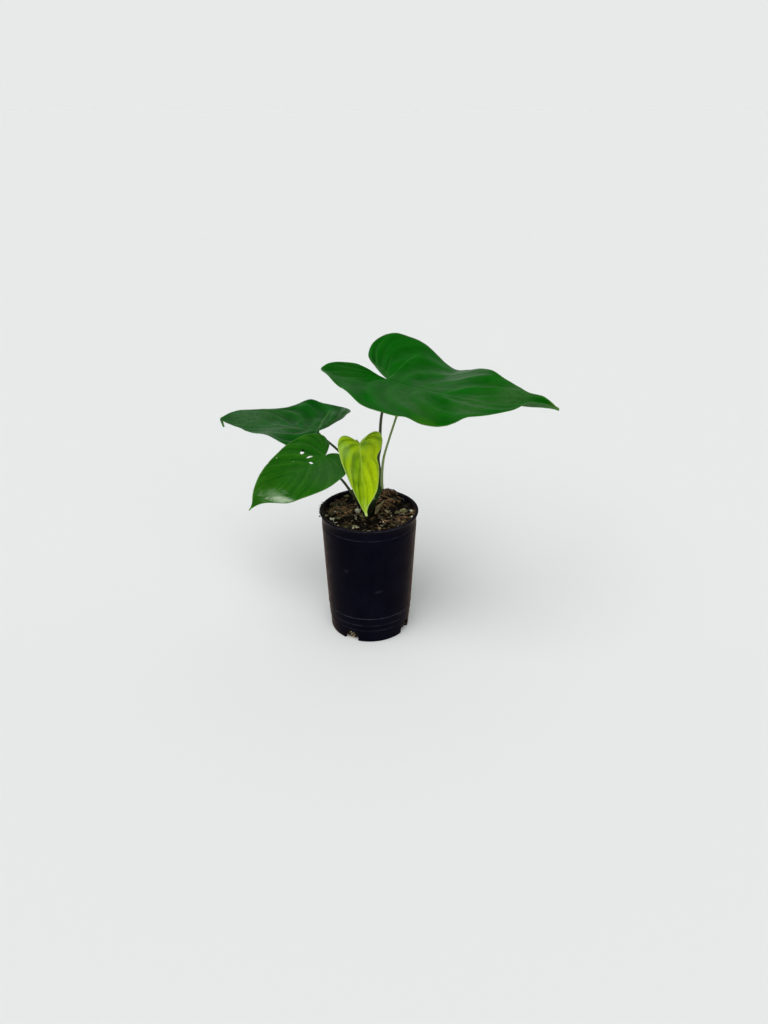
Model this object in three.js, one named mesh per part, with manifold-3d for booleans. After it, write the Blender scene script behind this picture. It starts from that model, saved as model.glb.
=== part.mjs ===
// A young anthurium in a black nursery pot: four blades on their petioles, one young
// stalk with a leaf that is still rolled up, a short leaning stem, the potting mix and
// the pot. Millimetres, +Z up, origin in the middle of the pot's underside. The viewer
// of the photograph stands on the -Y side, and +X is to the viewer's right.

import * as THREE from 'three';
import { mergeVertices } from 'three/addons/utils/BufferGeometryUtils.js';
import Module from 'manifold-3d';

const wasm = await Module();
wasm.setup();

// Driving dimensions.

const seatGap = 0.3;

const pot = {
  height: 132,
  baseRadius: 41,
  rimRadius: 49,
  lipHeight: 10,
  lipProud: 2.1,
  wall: 1.4,
  floor: 1.6,
  stepHeights: [14, 20.5, 29],
  stepDepth: 0.35,
  notchAngles: [-117, -27, 63, 153],
  notchWidth: 14.5,
  notchHeight: 11,
  sides: 64,
};

const mix = {
  level: 127,
  roughness: 1.5,
  moundAt: [18, 24],
  moundHeight: 9,
  moundRadius: 11,
  rings: 9,
  sides: 36,
  barkChips: 30,
  grains: 22,
  perlite: 12,
  fibres: 10,
  seed: 71,
};

const stem = {
  route: [[0, 1, 96], [0, 0.5, 116], [0.8, 0, 132], [5.4, 1, 145.5], [10.9, 2, 156.5]],
  radii: [4.2, 5.2, 5.6, 4.9, 4.2],
};

const bladeThickness = 0.9;

// The half outline that all the blades share, as [along the midrib / blade length,
// out from the midrib / half width]. It starts in the sinus where the petiole joins,
// runs back round the lobe and ends at the drawn-out tip.
const halfOutline = [
  [0, 0], [-0.05, 0.05], [-0.16, 0.17], [-0.26, 0.38], [-0.285, 0.62], [-0.19, 0.86],
  [0, 1], [0.22, 0.95], [0.44, 0.72], [0.64, 0.44], [0.80, 0.21], [0.915, 0.065], [1, 0],
];

// Each blade: where its sinus is, its length, its half widths and lobe lengths left and
// right of the midrib, the way it points (yaw), dips (pitch) and leans (roll), how the
// midrib bends over its length (arch, droop, and a hook at the very tip), how far it
// sweeps sideways, and how high the edge is lifted at even stations from lobe to tip.
// waves are the small bumps of the edge, each as [side, place along the edge, its width,
// how far it rises, how far it swells outward]; the side is 1 left and -1 right.
const leaves = {
  large: {
    sinus: [18.5, 6, 263], length: 164.5, left: 71.5, right: 58.5, lobeLeft: 0.89, lobeRight: 1.1,
    yaw: -29.5, pitch: 7, roll: 4, arch: -18, droop: 9.5, hook: 0, sweep: 0.02,
    liftLeft: [6.5, 5, 3.5, 12, 19, 12, -4, 8, 8.5, 6, 7.5],
    liftRight: [4.5, 11.5, 10.5, 8, 11, 1, -3.5, -12, -4, 0.5, 5],
    waves: [[1, 0.7, 0.025, 2, 0], [-1, 0.48, 0.025, 4, 0], [-1, 0.61, 0.02, 2.5, 0],
      [-1, 0.72, 0.02, 3, 0], [-1, 0.87, 0.033, 3, 0]],
  },
  upper: {
    sinus: [-50.3, 42, 198.7], length: 119, left: 40, right: 51.5, lobeLeft: 0.18, lobeRight: 0.55,
    yaw: 155, pitch: 1, roll: -1, arch: -2.5, droop: 6, hook: 115, sweep: 0.09,
    liftLeft: [-2.5, -6, -9.5, -6, 3, -2, -3], liftRight: [6.5, 11.5, 9.5, 7, 9, 6, 6.5],
    waves: [[1, 0.7, 0.06, -2.5, 0], [-1, 0.32, 0.036, 2, 0], [-1, 0.61, 0.028, 4.5, 0],
      [-1, 0.69, 0.055, -3, 0], [-1, 0.88, 0.04, -1.5, 0]],
  },
  lower: {
    sinus: [-41.3, -14, 194], length: 88, left: 35.5, right: 40, lobeLeft: 0.4, lobeRight: 0.63,
    yaw: 212, pitch: 18, roll: -6.5, arch: 1.5, droop: 31.5, hook: 0, sweep: -0.02,
    liftLeft: [3.5, 5.5, 1.5, -2, -7.5, -9, -2], liftRight: [1.5, 1, 3.5, 5, 7, 10, 5],
    waves: [[1, 0.74, 0.05, -2.5, 0], [-1, 0.27, 0.052, -3.5, 0], [-1, 0.92, 0.046, -2, 0]],
  },
  young: {
    sinus: [-7.7, -28, 213], length: 68, left: 24.5, right: 23.7, lobeLeft: 0.52, lobeRight: 0.46,
    yaw: -75.5, pitch: 72.5, roll: -25.5, arch: 4, droop: -7, hook: 0, sweep: 0.02,
    liftLeft: [4.5, 6.5, 7.5, 3.5, 2, 7.5, 3.5], liftRight: [-4, -5, -5, -1.5, 2, -0.5, -2],
    waves: [[1, 0.2, 0.05, 0, -1], [1, 0.58, 0.04, 0, -5.4], [1, 0.87, 0.07, 0, -1.4]],
  },
};

// Bites through the lower blade: how far along the edge parameter, how far out from the
// midrib, length and width of the hole, and its turn in the blade.
const leafHoles = [
  { along: 0.552, out: 0.52, length: 8.5, width: 4, turn: 50 },
  { along: 0.536, out: 0.25, length: 7, width: 2.6, turn: -12 },
  { along: 0.56, out: 0.06, length: 5.2, width: 2.4, turn: -72 },
];

// Each petiole: its route from the socket in the stem to below the blade, its radius at
// the foot and near the top, and how much thicker the joint under the blade is.
const petioles = {
  large: {
    route: [[9.6, 3.4, 154.5], [10.6, 4, 170], [9.2, 4.8, 184],
      [11.4, 5.6, 198], [11.2, 6, 212.5], [13, 6, 231]],
    foot: 1.75, neck: 1.35, joint: 0.6,
  },
  upper: {
    route: [[5.6, 3.4, 148.6], [0.8, 6.5, 155], [-13.8, 14.5, 168.7], [-31.8, 26, 185]],
    foot: 1.6, neck: 1.2, joint: 0.5,
  },
  lower: {
    route: [[0.8, -2, 133.5], [-6.6, -3.2, 138.6], [-16.5, -5, 151.9], [-25.8, -7, 166.8]],
    foot: 1.6, neck: 1.2, joint: 0.5,
  },
  young: {
    route: [[4.6, -2.6, 144.5], [0.6, -6, 163], [-4.4, -12.5, 187], [-7.2, -19, 207]],
    foot: 1.5, neck: 1.15, joint: 0.6,
  },
};

// The young stalk leans out beside the large leaf's petiole and carries a rolled leaf.
const youngStalk = {
  route: [[12.7, 0.6, 154.5], [12.9, 0, 171], [14.6, -0.4, 187.5], [20, 0, 207.6], [26.1, 2, 227.1]],
  foot: 1.5,
  neck: 1.05,
};
const rolledLeaf = { length: 27, radius: 1.9, lap: 0.35, sides: 12, steps: 14 };

// The dry brown sheath that still clasps the foot of the stem.
const drySheath = { height: 15, radius: 6.6, halfAngle: 60, facing: -38, thickness: 0.8, curl: 4.5 };

// Colours.

function paint(colour, roughness) {
  return new THREE.MeshStandardMaterial({ color: colour, roughness, metalness: 0 });
}

const finish = {
  pot: paint('#14161c', 0.42),
  mix: paint('#2c2119', 0.95),
  stem: paint('#2f5226', 0.5),
  sheath: paint('#5c4c28', 0.85),
  petiole: paint('#3b5f2b', 0.45),
  stalk: paint('#7d9a55', 0.45),
  blade: paint('#1a5a22', 0.38),
  blueBlade: paint('#1c4a2c', 0.34),
  youngBlade: paint('#8fb52a', 0.4),
};

// Small helpers.

// Repeatable random numbers from 0 to 1.
function seededRandom(seed) {
  let state = seed;
  return function next() {
    state = (state * 1664525 + 1013904223) % 4294967296;
    return state / 4294967296;
  };
}

function radians(degrees) {
  return THREE.MathUtils.degToRad(degrees);
}

function toVector(point) {
  return new THREE.Vector3(point[0], point[1], point[2]);
}

// Closed geometry from a list of points and a list of triangles.
function meshFrom(points, triangles) {
  const geometry = new THREE.BufferGeometry();
  const flat = points.flatMap((p) => [p.x, p.y, p.z]);
  geometry.setAttribute('position', new THREE.Float32BufferAttribute(flat, 3));
  geometry.setIndex(triangles.flat());
  return geometry;
}

function toSolid(geometry) {
  const bare = geometry.clone();
  bare.deleteAttribute('normal');
  bare.deleteAttribute('uv');
  const merged = mergeVertices(bare, 1e-4);
  return new wasm.Manifold(new wasm.Mesh({
    numProp: 3,
    vertProperties: new Float32Array(merged.attributes.position.array),
    triVerts: new Uint32Array(merged.index.array),
  }));
}

// The largest connected body of a solid, as geometry: a cut may leave small scraps.
function toGeometry(solid) {
  const bodies = solid.decompose();
  bodies.sort((a, b) => b.volume() - a.volume());
  const mesh = bodies[0].getMesh();
  const geometry = new THREE.BufferGeometry();
  geometry.setAttribute('position', new THREE.BufferAttribute(mesh.vertProperties, 3));
  geometry.setIndex(new THREE.BufferAttribute(mesh.triVerts, 1));
  return geometry;
}

// Gives a surface its thickness: the same triangles on both faces, and a wall along
// every edge that belongs to one triangle only.
function thicken(points, triangles, thickness) {
  const normals = points.map(() => new THREE.Vector3());
  const edges = new Set();
  for (const [a, b, c] of triangles) {
    const ab = new THREE.Vector3().subVectors(points[b], points[a]);
    const ac = new THREE.Vector3().subVectors(points[c], points[a]);
    const normal = ab.cross(ac);
    normals[a].add(normal);
    normals[b].add(normal);
    normals[c].add(normal);
    edges.add(`${a},${b}`);
    edges.add(`${b},${c}`);
    edges.add(`${c},${a}`);
  }
  const half = thickness / 2;
  const count = points.length;
  const top = points.map((p, i) => p.clone().addScaledVector(normals[i].clone().normalize(), half));
  const under = points.map((p, i) => p.clone().addScaledVector(normals[i].clone().normalize(), -half));
  const faces = [];
  for (const [a, b, c] of triangles) {
    faces.push([a, b, c]);
    faces.push([a + count, c + count, b + count]);
  }
  for (const edge of edges) {
    const [a, b] = edge.split(',').map(Number);
    if (!edges.has(`${b},${a}`)) {
      faces.push([b, a, a + count]);
      faces.push([b, a + count, b + count]);
    }
  }
  return meshFrom([...top, ...under], faces);
}

// A closed rod along a smooth route. radiusAt(u, angle) gives the section's radius at
// the share u of the length, and both end faces are pushed outward by push.
function rodAlong(route, radiusAt, sides, steps, push = 0) {
  const curve = new THREE.CatmullRomCurve3(route.map(toVector), false, 'centripetal');
  const frames = curve.computeFrenetFrames(steps, false);
  const points = [];
  const faces = [];
  function centreOf(i) {
    const outward = i === 0 ? -push : push;
    const centre = curve.getPointAt(i / steps);
    return i % steps === 0 ? centre.addScaledVector(frames.tangents[i], outward) : centre;
  }
  for (let i = 0; i <= steps; i++) {
    const centre = centreOf(i);
    for (let k = 0; k < sides; k++) {
      const angle = (2 * Math.PI * k) / sides;
      const r = radiusAt(i / steps, angle);
      const p = centre.clone();
      p.addScaledVector(frames.normals[i], r * Math.cos(angle));
      p.addScaledVector(frames.binormals[i], r * Math.sin(angle));
      points.push(p);
    }
  }
  for (let i = 0; i < steps; i++) {
    for (let k = 0; k < sides; k++) {
      const next = (k + 1) % sides;
      const a = i * sides + k;
      const b = i * sides + next;
      faces.push([a, b, b + sides]);
      faces.push([a, b + sides, a + sides]);
    }
  }
  for (const [ring, turned] of [[0, true], [steps, false]]) {
    const centre = points.length;
    points.push(centreOf(ring));
    for (let k = 0; k < sides; k++) {
      const a = ring * sides + k;
      const b = ring * sides + ((k + 1) % sides);
      faces.push(turned ? [centre, b, a] : [centre, a, b]);
    }
  }
  return meshFrom(points, faces);
}

// A number between two listed values, by the share u along the list.
function between(values, u) {
  const at = Math.min(Math.max(u, 0), 1) * (values.length - 1);
  const i = Math.min(Math.floor(at), values.length - 2);
  return values[i] + (values[i + 1] - values[i]) * (at - i);
}

// The blades.

const outlineCurve = new THREE.SplineCurve(halfOutline.map((p) => new THREE.Vector2(p[0], p[1])));
const fanShare = 0.4;

// The midrib seen from the side: x and z at the share s of the blade's length, behind
// the sinus when s is negative. Its slope grows by the arch, by the droop toward the
// tip, and by the hook from hookStart on, over the share hookReach.
const hookStart = 0.915;
const hookReach = 0.03;

function midribBend(leaf, s) {
  const steps = 120;
  const place = { x: 0, z: 0, slope: 0 };
  for (let i = 0; i < steps; i++) {
    const g = (s * (i + 0.5)) / steps;
    const slope = slopeAt(leaf, g);
    place.x += (Math.cos(slope) * s) / steps;
    place.z -= (Math.sin(slope) * s) / steps;
  }
  place.slope = slopeAt(leaf, s);
  return place;
}

function slopeAt(leaf, g) {
  const forward = Math.max(g, 0);
  const hooked = Math.min(Math.max((g - hookStart) / hookReach, 0), 1);
  return radians(leaf.arch * g + leaf.droop * forward ** 4 + leaf.hook * hooked);
}

// A point of a blade. side is 1 left of the midrib and -1 right of it, along runs round
// the edge from the sinus to the tip, and out runs from the midrib to the edge.
function bladePoint(leaf, side, along, out) {
  const edge = outlineCurve.getPoint(along);
  const lobe = side > 0 ? leaf.lobeLeft : leaf.lobeRight;
  let width = edge.y * (side > 0 ? leaf.left : leaf.right);
  const lifts = side > 0 ? leaf.liftLeft : leaf.liftRight;
  const edgeX = (edge.x < 0 ? edge.x * lobe : edge.x) * leaf.length;
  const start = leaf.length * Math.max((along - fanShare) / (1 - fanShare), 0) ** 1.4;
  const liftCurve = new THREE.SplineCurve([0, ...lifts, 0].map((z, i) => new THREE.Vector2(i, z)));
  let lift = liftCurve.getPoint(along).y * (0.4 * out + 0.6 * out * out);
  for (const [waveSide, at, reach, rise, grow] of leaf.waves) {
    const near = waveSide === side ? Math.exp(-(((along - at) / reach) ** 2)) : 0;
    lift += rise * near * out ** 2.5;
    width += grow * near;
  }
  if (leaf.hook > 0) {
    lift *= 1 - THREE.MathUtils.smoothstep(along, 0.88, 0.95);
  }
  const x = start + (edgeX - start) * out;
  const share = x / leaf.length;
  const bend = midribBend(leaf, share);
  const point = new THREE.Vector3(
    bend.x * leaf.length + Math.sin(bend.slope) * lift,
    side * width * out + leaf.sweep * leaf.length * Math.max(share, 0) ** 2,
    bend.z * leaf.length + Math.cos(bend.slope) * lift,
  );
  const turn = new THREE.Euler(radians(leaf.roll), radians(leaf.pitch), radians(leaf.yaw), 'ZYX');
  return point.applyEuler(turn).add(toVector(leaf.sinus));
}

function bladeGeometry(leaf, rows, columns) {
  const points = [];
  const triangles = [];
  const known = new Map();
  function vertex(side, i, j) {
    const along = 1 - (1 - i / rows) ** 1.3;
    let key = `${side},${i},${j}`;
    if (i === rows) {
      key = 'tip';
    } else if (j === 0) {
      key = along <= fanShare ? 'sinus' : `midrib,${i}`;
    }
    if (!known.has(key)) {
      known.set(key, points.length);
      points.push(bladePoint(leaf, side, along, j / columns));
    }
    return known.get(key);
  }
  for (const side of [1, -1]) {
    for (let i = 1; i < rows; i++) {
      for (let j = 0; j < columns; j++) {
        const corners = [vertex(side, i, j), vertex(side, i + 1, j),
          vertex(side, i + 1, j + 1), vertex(side, i, j + 1)];
        if (side < 0) {
          corners.reverse();
        }
        const [a, b, c, d] = corners;
        for (const triangle of [[a, b, c], [a, c, d]]) {
          if (new Set(triangle).size === 3) {
            triangles.push(triangle);
          }
        }
      }
    }
  }
  return thicken(points, triangles, bladeThickness);
}

// Where a petiole meets its blade: a point on the midrib just past the sinus and the
// direction that faces up out of the blade there.
function bladeSeat(leaf, past) {
  const along = fanShare + (1 - fanShare) * (past / leaf.length) ** (1 / 1.4);
  const point = bladePoint(leaf, 1, along, 0);
  const left = bladePoint(leaf, 1, along, 0.04).sub(point);
  const right = bladePoint(leaf, -1, along, 0.04).sub(point);
  const ahead = bladePoint(leaf, 1, along + 0.03, 0).sub(point).normalize();
  const across = left.sub(right).normalize();
  const up = new THREE.Vector3().crossVectors(ahead, across).normalize();
  return { point, up, ahead };
}

// A ragged hole through a blade, as a six-sided prism that stands on the surface.
function holePrism(leaf, hole) {
  const centre = bladePoint(leaf, -1, hole.along, hole.out);
  const ahead = bladePoint(leaf, -1, hole.along + 0.02, hole.out).sub(centre).normalize();
  const across = bladePoint(leaf, -1, hole.along, hole.out + 0.04).sub(centre).normalize();
  const up = new THREE.Vector3().crossVectors(across, ahead).normalize();
  const side = new THREE.Vector3().crossVectors(up, ahead).normalize();
  const shape = new THREE.Shape();
  for (let k = 0; k < 6; k++) {
    const angle = (Math.PI * k) / 3;
    const reach = k % 2 === 0 ? 0.5 : 0.42;
    const x = hole.length * reach * Math.cos(angle);
    const y = hole.width * reach * Math.sin(angle);
    if (k === 0) {
      shape.moveTo(x, y);
    } else {
      shape.lineTo(x, y);
    }
  }
  const prism = new THREE.ExtrudeGeometry(shape, { depth: 8, bevelEnabled: false });
  prism.translate(0, 0, -4);
  prism.rotateZ(radians(hole.turn));
  prism.applyMatrix4(new THREE.Matrix4().makeBasis(ahead, side, up));
  prism.translate(centre.x, centre.y, centre.z);
  return prism;
}

// The petioles.

// The route of a petiole with its last stretch square to the underside of the blade.
function petioleRoute(petiole, leaf) {
  const seat = bladeSeat(leaf, 2.4);
  const below = bladeThickness / 2 + seatGap + 0.15;
  const end = seat.point.clone().addScaledVector(seat.up, -below);
  const knee = seat.point.clone().addScaledVector(seat.up, -below - 7);
  return [...petiole.route, [knee.x, knee.y, knee.z], [end.x, end.y, end.z]];
}

// The young leaf hangs: its petiole climbs behind it, tops the sinus and ends against
// the back of the blade.
function hangingRoute(petiole, leaf) {
  const seat = bladeSeat(leaf, 2.8);
  const behind = bladeThickness / 2 + seatGap + 1.2;
  const end = seat.point.clone().addScaledVector(seat.up, -behind);
  const knee = seat.point.clone().addScaledVector(seat.up, -behind - 3.2).addScaledVector(seat.ahead, -3.4);
  return [...petiole.route, [knee.x, knee.y, knee.z], [end.x, end.y, end.z]];
}

function petioleRadius(petiole, extra) {
  return function radiusAt(u) {
    const slim = petiole.foot + (petiole.neck - petiole.foot) * Math.min(u * 1.6, 1);
    const joint = (petiole.joint ?? 0) * THREE.MathUtils.smoothstep(u, 0.88, 0.96);
    return slim + joint + extra;
  };
}

function petioleGeometry(petiole, route, extra = 0) {
  return rodAlong(route, petioleRadius(petiole, extra), 8, 20, extra);
}

// The pot.

// Outer radius of the pot at a height: an even taper that steps in a little at each
// moulded ring near the base, and stands proud at the lip.
function potRadius(z) {
  const under = pot.rimRadius - pot.lipProud;
  const steps = pot.stepHeights.filter((height) => z < height).length;
  return pot.baseRadius + ((under - pot.baseRadius) * z) / (pot.height - pot.lipHeight)
    + pot.stepDepth * (pot.stepHeights.length / 2 - steps);
}

function innerRadius(z) {
  const under = pot.rimRadius - pot.lipProud;
  const taper = (under - pot.baseRadius) / (pot.height - pot.lipHeight);
  return pot.baseRadius - pot.wall - pot.stepDepth * 1.5 + taper * Math.min(z, pot.height);
}

function potGeometry() {
  const lipStart = pot.height - pot.lipHeight;
  const outline = [
    [0, 0],
    [pot.baseRadius - 1.7, 0],
    [pot.baseRadius - 0.6, 0.6],
    [potRadius(3), 3],
  ];
  for (const height of pot.stepHeights) {
    outline.push([potRadius(height - 0.01), height - 0.5]);
    outline.push([potRadius(height), height + 0.4]);
  }
  outline.push([pot.rimRadius - pot.lipProud, lipStart]);
  outline.push([pot.rimRadius - 1.3, pot.height - 4.5]);
  outline.push([pot.rimRadius, pot.height - 1]);
  outline.push([pot.rimRadius - 0.6, pot.height]);
  outline.push([innerRadius(pot.height) + 0.4, pot.height]);
  outline.push([innerRadius(pot.height), pot.height - 0.6]);
  outline.push([innerRadius(pot.floor), pot.floor]);
  outline.push([0, pot.floor]);
  const profile = outline.map((p) => new THREE.Vector2(p[0], p[1]));
  const shell = new THREE.LatheGeometry(profile, pot.sides);
  shell.rotateX(Math.PI / 2);
  let solid = toSolid(shell);
  for (const degrees of pot.notchAngles) {
    const notch = new THREE.BoxGeometry(12, pot.notchWidth, pot.notchHeight + 4);
    notch.translate(pot.baseRadius, 0, pot.notchHeight / 2 - 2);
    notch.rotateZ(radians(degrees));
    solid = solid.subtract(toSolid(notch));
  }
  return toGeometry(solid);
}

// The potting mix.

// Height of the mix at a place: near level, rough, higher at the mound behind the stem.
function mixHeight(x, y) {
  const waves = Math.sin(0.31 * x + 0.7) * Math.cos(0.27 * y - 0.4)
    + 0.6 * Math.sin(0.62 * x - 0.55 * y + 1.9)
    + 0.45 * Math.cos(0.9 * x + 0.75 * y);
  const away = Math.hypot(x - mix.moundAt[0], y - mix.moundAt[1]) / mix.moundRadius;
  return mix.level + (mix.roughness * waves) / 2 + mix.moundHeight * Math.exp(-away * away);
}

// The body of the mix fills the pot with the usual gap. Its top is pushed up and down
// by the height rule, except on its outermost ring.
function mixBody() {
  const bottom = pot.floor + seatGap;
  const topRadius = innerRadius(mix.level) - seatGap;
  const profile = [[0, bottom], [innerRadius(bottom) - seatGap, bottom]];
  for (let ring = 0; ring <= mix.rings; ring++) {
    profile.push([topRadius * (1 - ring / mix.rings), mix.level]);
  }
  const body = new THREE.LatheGeometry(profile.map((p) => new THREE.Vector2(p[0], p[1])), mix.sides);
  body.rotateX(Math.PI / 2);
  const place = body.attributes.position;
  for (let i = 0; i < place.count; i++) {
    const x = place.getX(i);
    const y = place.getY(i);
    if (place.getZ(i) > bottom + 1) {
      const edge = THREE.MathUtils.smoothstep(Math.hypot(x, y), topRadius - 0.5, topRadius);
      place.setZ(i, mixHeight(x, y) * (1 - edge) + mix.level * edge);
    }
  }
  return toSolid(body);
}

// Bark chips, round grains and perlite lie half sunk on the mix, and wiry fibres loop
// out of it, most of them over the mound.
function mixGeometry(keepOut) {
  const random = seededRandom(mix.seed);
  const pieces = [mixBody()];
  const reach = innerRadius(mix.level) - 4;
  function scatter() {
    const r = reach * Math.sqrt(random());
    const angle = 2 * Math.PI * random();
    return [r * Math.cos(angle), r * Math.sin(angle)];
  }
  function lay(shape, x, y, sunk) {
    shape.rotateX((random() - 0.5) * 0.9);
    shape.rotateY((random() - 0.5) * 0.9);
    shape.rotateZ(random() * Math.PI);
    shape.translate(x, y, mixHeight(x, y) - sunk);
    pieces.push(toSolid(shape));
  }
  for (let n = 0; n < mix.barkChips; n++) {
    const [x, y] = scatter();
    const chip = new THREE.BoxGeometry(3.5 + 5 * random(), 2.5 + 3 * random(), 1.6 + 1.6 * random());
    lay(chip, x, y, 0.3);
  }
  for (let n = 0; n < mix.grains + mix.perlite; n++) {
    const [x, y] = scatter();
    const grain = new THREE.OctahedronGeometry(1.4, 0);
    grain.scale(1 + 0.9 * random(), 1 + 0.7 * random(), 0.8 + 0.5 * random());
    lay(grain, x, y, 0.1);
  }
  for (let n = 0; n < mix.fibres; n++) {
    const onMound = n < 5;
    const [sx, sy] = scatter();
    const x = onMound ? mix.moundAt[0] + 7 * (random() - 0.5) : sx * 0.9;
    const y = onMound ? mix.moundAt[1] + 7 * (random() - 0.5) : sy * 0.9;
    const heading = 2 * Math.PI * random();
    const span = 7 + 7 * random();
    const rise = onMound ? 3 + 3 * random() : 1.6 + random();
    const route = [-0.5, -0.2, 0.15, 0.5].map((share, k) => {
      const px = x + span * share * Math.cos(heading) + (k % 2) * 1.6 * Math.sin(heading);
      const py = y + span * share * Math.sin(heading) - (k % 2) * 1.6 * Math.cos(heading);
      const lift = k === 0 || k === 3 ? -1.6 : rise;
      return [px, py, mixHeight(px, py) + lift];
    });
    pieces.push(toSolid(rodAlong(route, () => 0.55, 4, 6)));
  }
  let solid = wasm.Manifold.union(pieces);
  const room = new THREE.LatheGeometry([
    new THREE.Vector2(0, pot.floor),
    new THREE.Vector2(innerRadius(pot.floor) - seatGap, pot.floor),
    new THREE.Vector2(innerRadius(pot.height) - seatGap, pot.height),
    new THREE.Vector2(innerRadius(pot.height) - seatGap, pot.height + 30),
    new THREE.Vector2(0, pot.height + 30),
  ], pot.sides);
  room.rotateX(Math.PI / 2);
  solid = solid.intersect(toSolid(room));
  for (const blocker of keepOut) {
    solid = solid.subtract(blocker);
  }
  return toGeometry(solid);
}

// Stem, sheath, rolled leaf.

function stemRod(extra) {
  const radiusAt = (u, angle) => between(stem.radii, u) * (1 + 0.05 * Math.cos(3 * angle + 9 * u)) + extra;
  return toSolid(rodAlong(stem.route, radiusAt, 12, 18, extra));
}

// A curved scale that stands round part of the stem and curls outward at its top.
function sheathGeometry(extra = 0) {
  const rows = 8;
  const columns = 8;
  const points = [];
  const triangles = [];
  for (let i = 0; i <= rows; i++) {
    const u = i / rows;
    const narrowing = 1 - 0.75 * u * u;
    for (let j = 0; j <= columns; j++) {
      const v = (2 * j) / columns - 1;
      const angle = radians(drySheath.facing + drySheath.halfAngle * narrowing * v);
      const r = drySheath.radius + drySheath.curl * u * u + 0.5 * Math.sin(5 * v + 3 * u);
      const lean = 5.2 * u;
      const base = mix.level + 1.6;
      points.push(new THREE.Vector3(1.4 + lean + r * Math.cos(angle), 0.4 + r * Math.sin(angle),
        base + drySheath.height * u * (1 - 0.12 * v * v)));
    }
  }
  for (let i = 0; i < rows; i++) {
    for (let j = 0; j < columns; j++) {
      const a = i * (columns + 1) + j;
      const b = a + 1;
      const c = b + columns + 1;
      const d = a + columns + 1;
      triangles.push([a, b, c]);
      triangles.push([a, c, d]);
    }
  }
  return thicken(points, triangles, drySheath.thickness + 2 * extra);
}

// The rolled leaf is a slim spindle whose free edge laps over itself as a small step.
function rolledLeafGeometry() {
  const route = youngStalk.route.map(toVector);
  const top = route[route.length - 1];
  const heading = top.clone().sub(route[route.length - 2]).normalize();
  const start = top.clone().addScaledVector(heading, seatGap);
  const middle = start.clone().addScaledVector(heading, rolledLeaf.length * 0.5);
  const end = start.clone().addScaledVector(heading, rolledLeaf.length);
  middle.x += 0.8;
  const radiusAt = (u, angle) => {
    const belly = rolledLeaf.radius * (0.45 + 0.55 * Math.sin(Math.PI * Math.min(u * 1.5 + 0.1, 1) * 0.5));
    const taper = u < 0.4 ? 1 : 1 - 0.93 * ((u - 0.4) / 0.6) ** 1.3;
    return belly * taper * (1 + (rolledLeaf.lap * angle) / (2 * Math.PI));
  };
  const points = [start, middle, end].map((p) => [p.x, p.y, p.z]);
  return rodAlong(points, radiusAt, rolledLeaf.sides, rolledLeaf.steps);
}

// The object.

const plant = new THREE.Group();

function addPiece(name, geometry, material) {
  geometry.deleteAttribute('uv');
  geometry.deleteAttribute('normal');
  geometry.computeVertexNormals();
  const piece = new THREE.Mesh(geometry, material);
  piece.name = name;
  plant.add(piece);
}

const routes = {
  large: petioleRoute(petioles.large, leaves.large),
  upper: petioleRoute(petioles.upper, leaves.upper),
  lower: petioleRoute(petioles.lower, leaves.lower),
  young: hangingRoute(petioles.young, leaves.young),
};

// Each petiole's foot stands in a socket of its own in the stem, cut one gap wider.
let stemSolid = stemRod(0);
const looseFit = [];
for (const name of Object.keys(petioles)) {
  looseFit.push(toSolid(petioleGeometry(petioles[name], routes[name], seatGap)));
}
looseFit.push(toSolid(petioleGeometry(youngStalk, youngStalk.route, seatGap)));
for (const socket of looseFit) {
  stemSolid = stemSolid.subtract(socket);
}

const sheathRoom = toSolid(sheathGeometry(seatGap));

addPiece('pot', potGeometry(), finish.pot);
addPiece('potting_mix', mixGeometry([stemRod(seatGap), ...looseFit, sheathRoom]), finish.mix);
addPiece('stem', toGeometry(stemSolid), finish.stem);
addPiece('dry_sheath', sheathGeometry(), finish.sheath);

for (const name of Object.keys(petioles)) {
  addPiece(`petiole_${name}`, petioleGeometry(petioles[name], routes[name]), finish.petiole);
}
addPiece('stalk_rolled', petioleGeometry(youngStalk, youngStalk.route), finish.stalk);
addPiece('leaf_rolled', rolledLeafGeometry(), finish.stalk);

let lowerBlade = toSolid(bladeGeometry(leaves.lower, 30, 5));
for (const hole of leafHoles) {
  lowerBlade = lowerBlade.subtract(toSolid(holePrism(leaves.lower, hole)));
}

addPiece('blade_large', bladeGeometry(leaves.large, 34, 6), finish.blade);
addPiece('blade_upper', bladeGeometry(leaves.upper, 32, 5), finish.blueBlade);
addPiece('blade_lower', toGeometry(lowerBlade), finish.blade);
addPiece('blade_young', bladeGeometry(leaves.young, 28, 5), finish.youngBlade);

export default plant;
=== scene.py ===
import math

import bmesh
import bpy
import numpy as np
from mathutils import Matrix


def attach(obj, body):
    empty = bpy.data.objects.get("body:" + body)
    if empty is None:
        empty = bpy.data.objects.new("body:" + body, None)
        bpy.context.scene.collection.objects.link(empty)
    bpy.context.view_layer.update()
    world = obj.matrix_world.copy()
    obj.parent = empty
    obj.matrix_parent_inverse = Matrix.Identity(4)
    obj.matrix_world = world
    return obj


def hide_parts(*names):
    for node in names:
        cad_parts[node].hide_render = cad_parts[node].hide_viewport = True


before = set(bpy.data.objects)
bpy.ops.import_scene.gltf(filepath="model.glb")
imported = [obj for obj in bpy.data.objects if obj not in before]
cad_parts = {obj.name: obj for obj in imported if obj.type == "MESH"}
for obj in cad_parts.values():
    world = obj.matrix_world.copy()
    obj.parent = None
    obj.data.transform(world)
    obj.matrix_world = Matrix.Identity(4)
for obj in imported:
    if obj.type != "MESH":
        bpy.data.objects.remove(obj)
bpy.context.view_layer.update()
mm = 0.001  # every shape below is worked out in millimetres
print("scene: frame loaded with", len(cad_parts), "nodes")


# Values, colours and shared effects inside a node tree.


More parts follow.
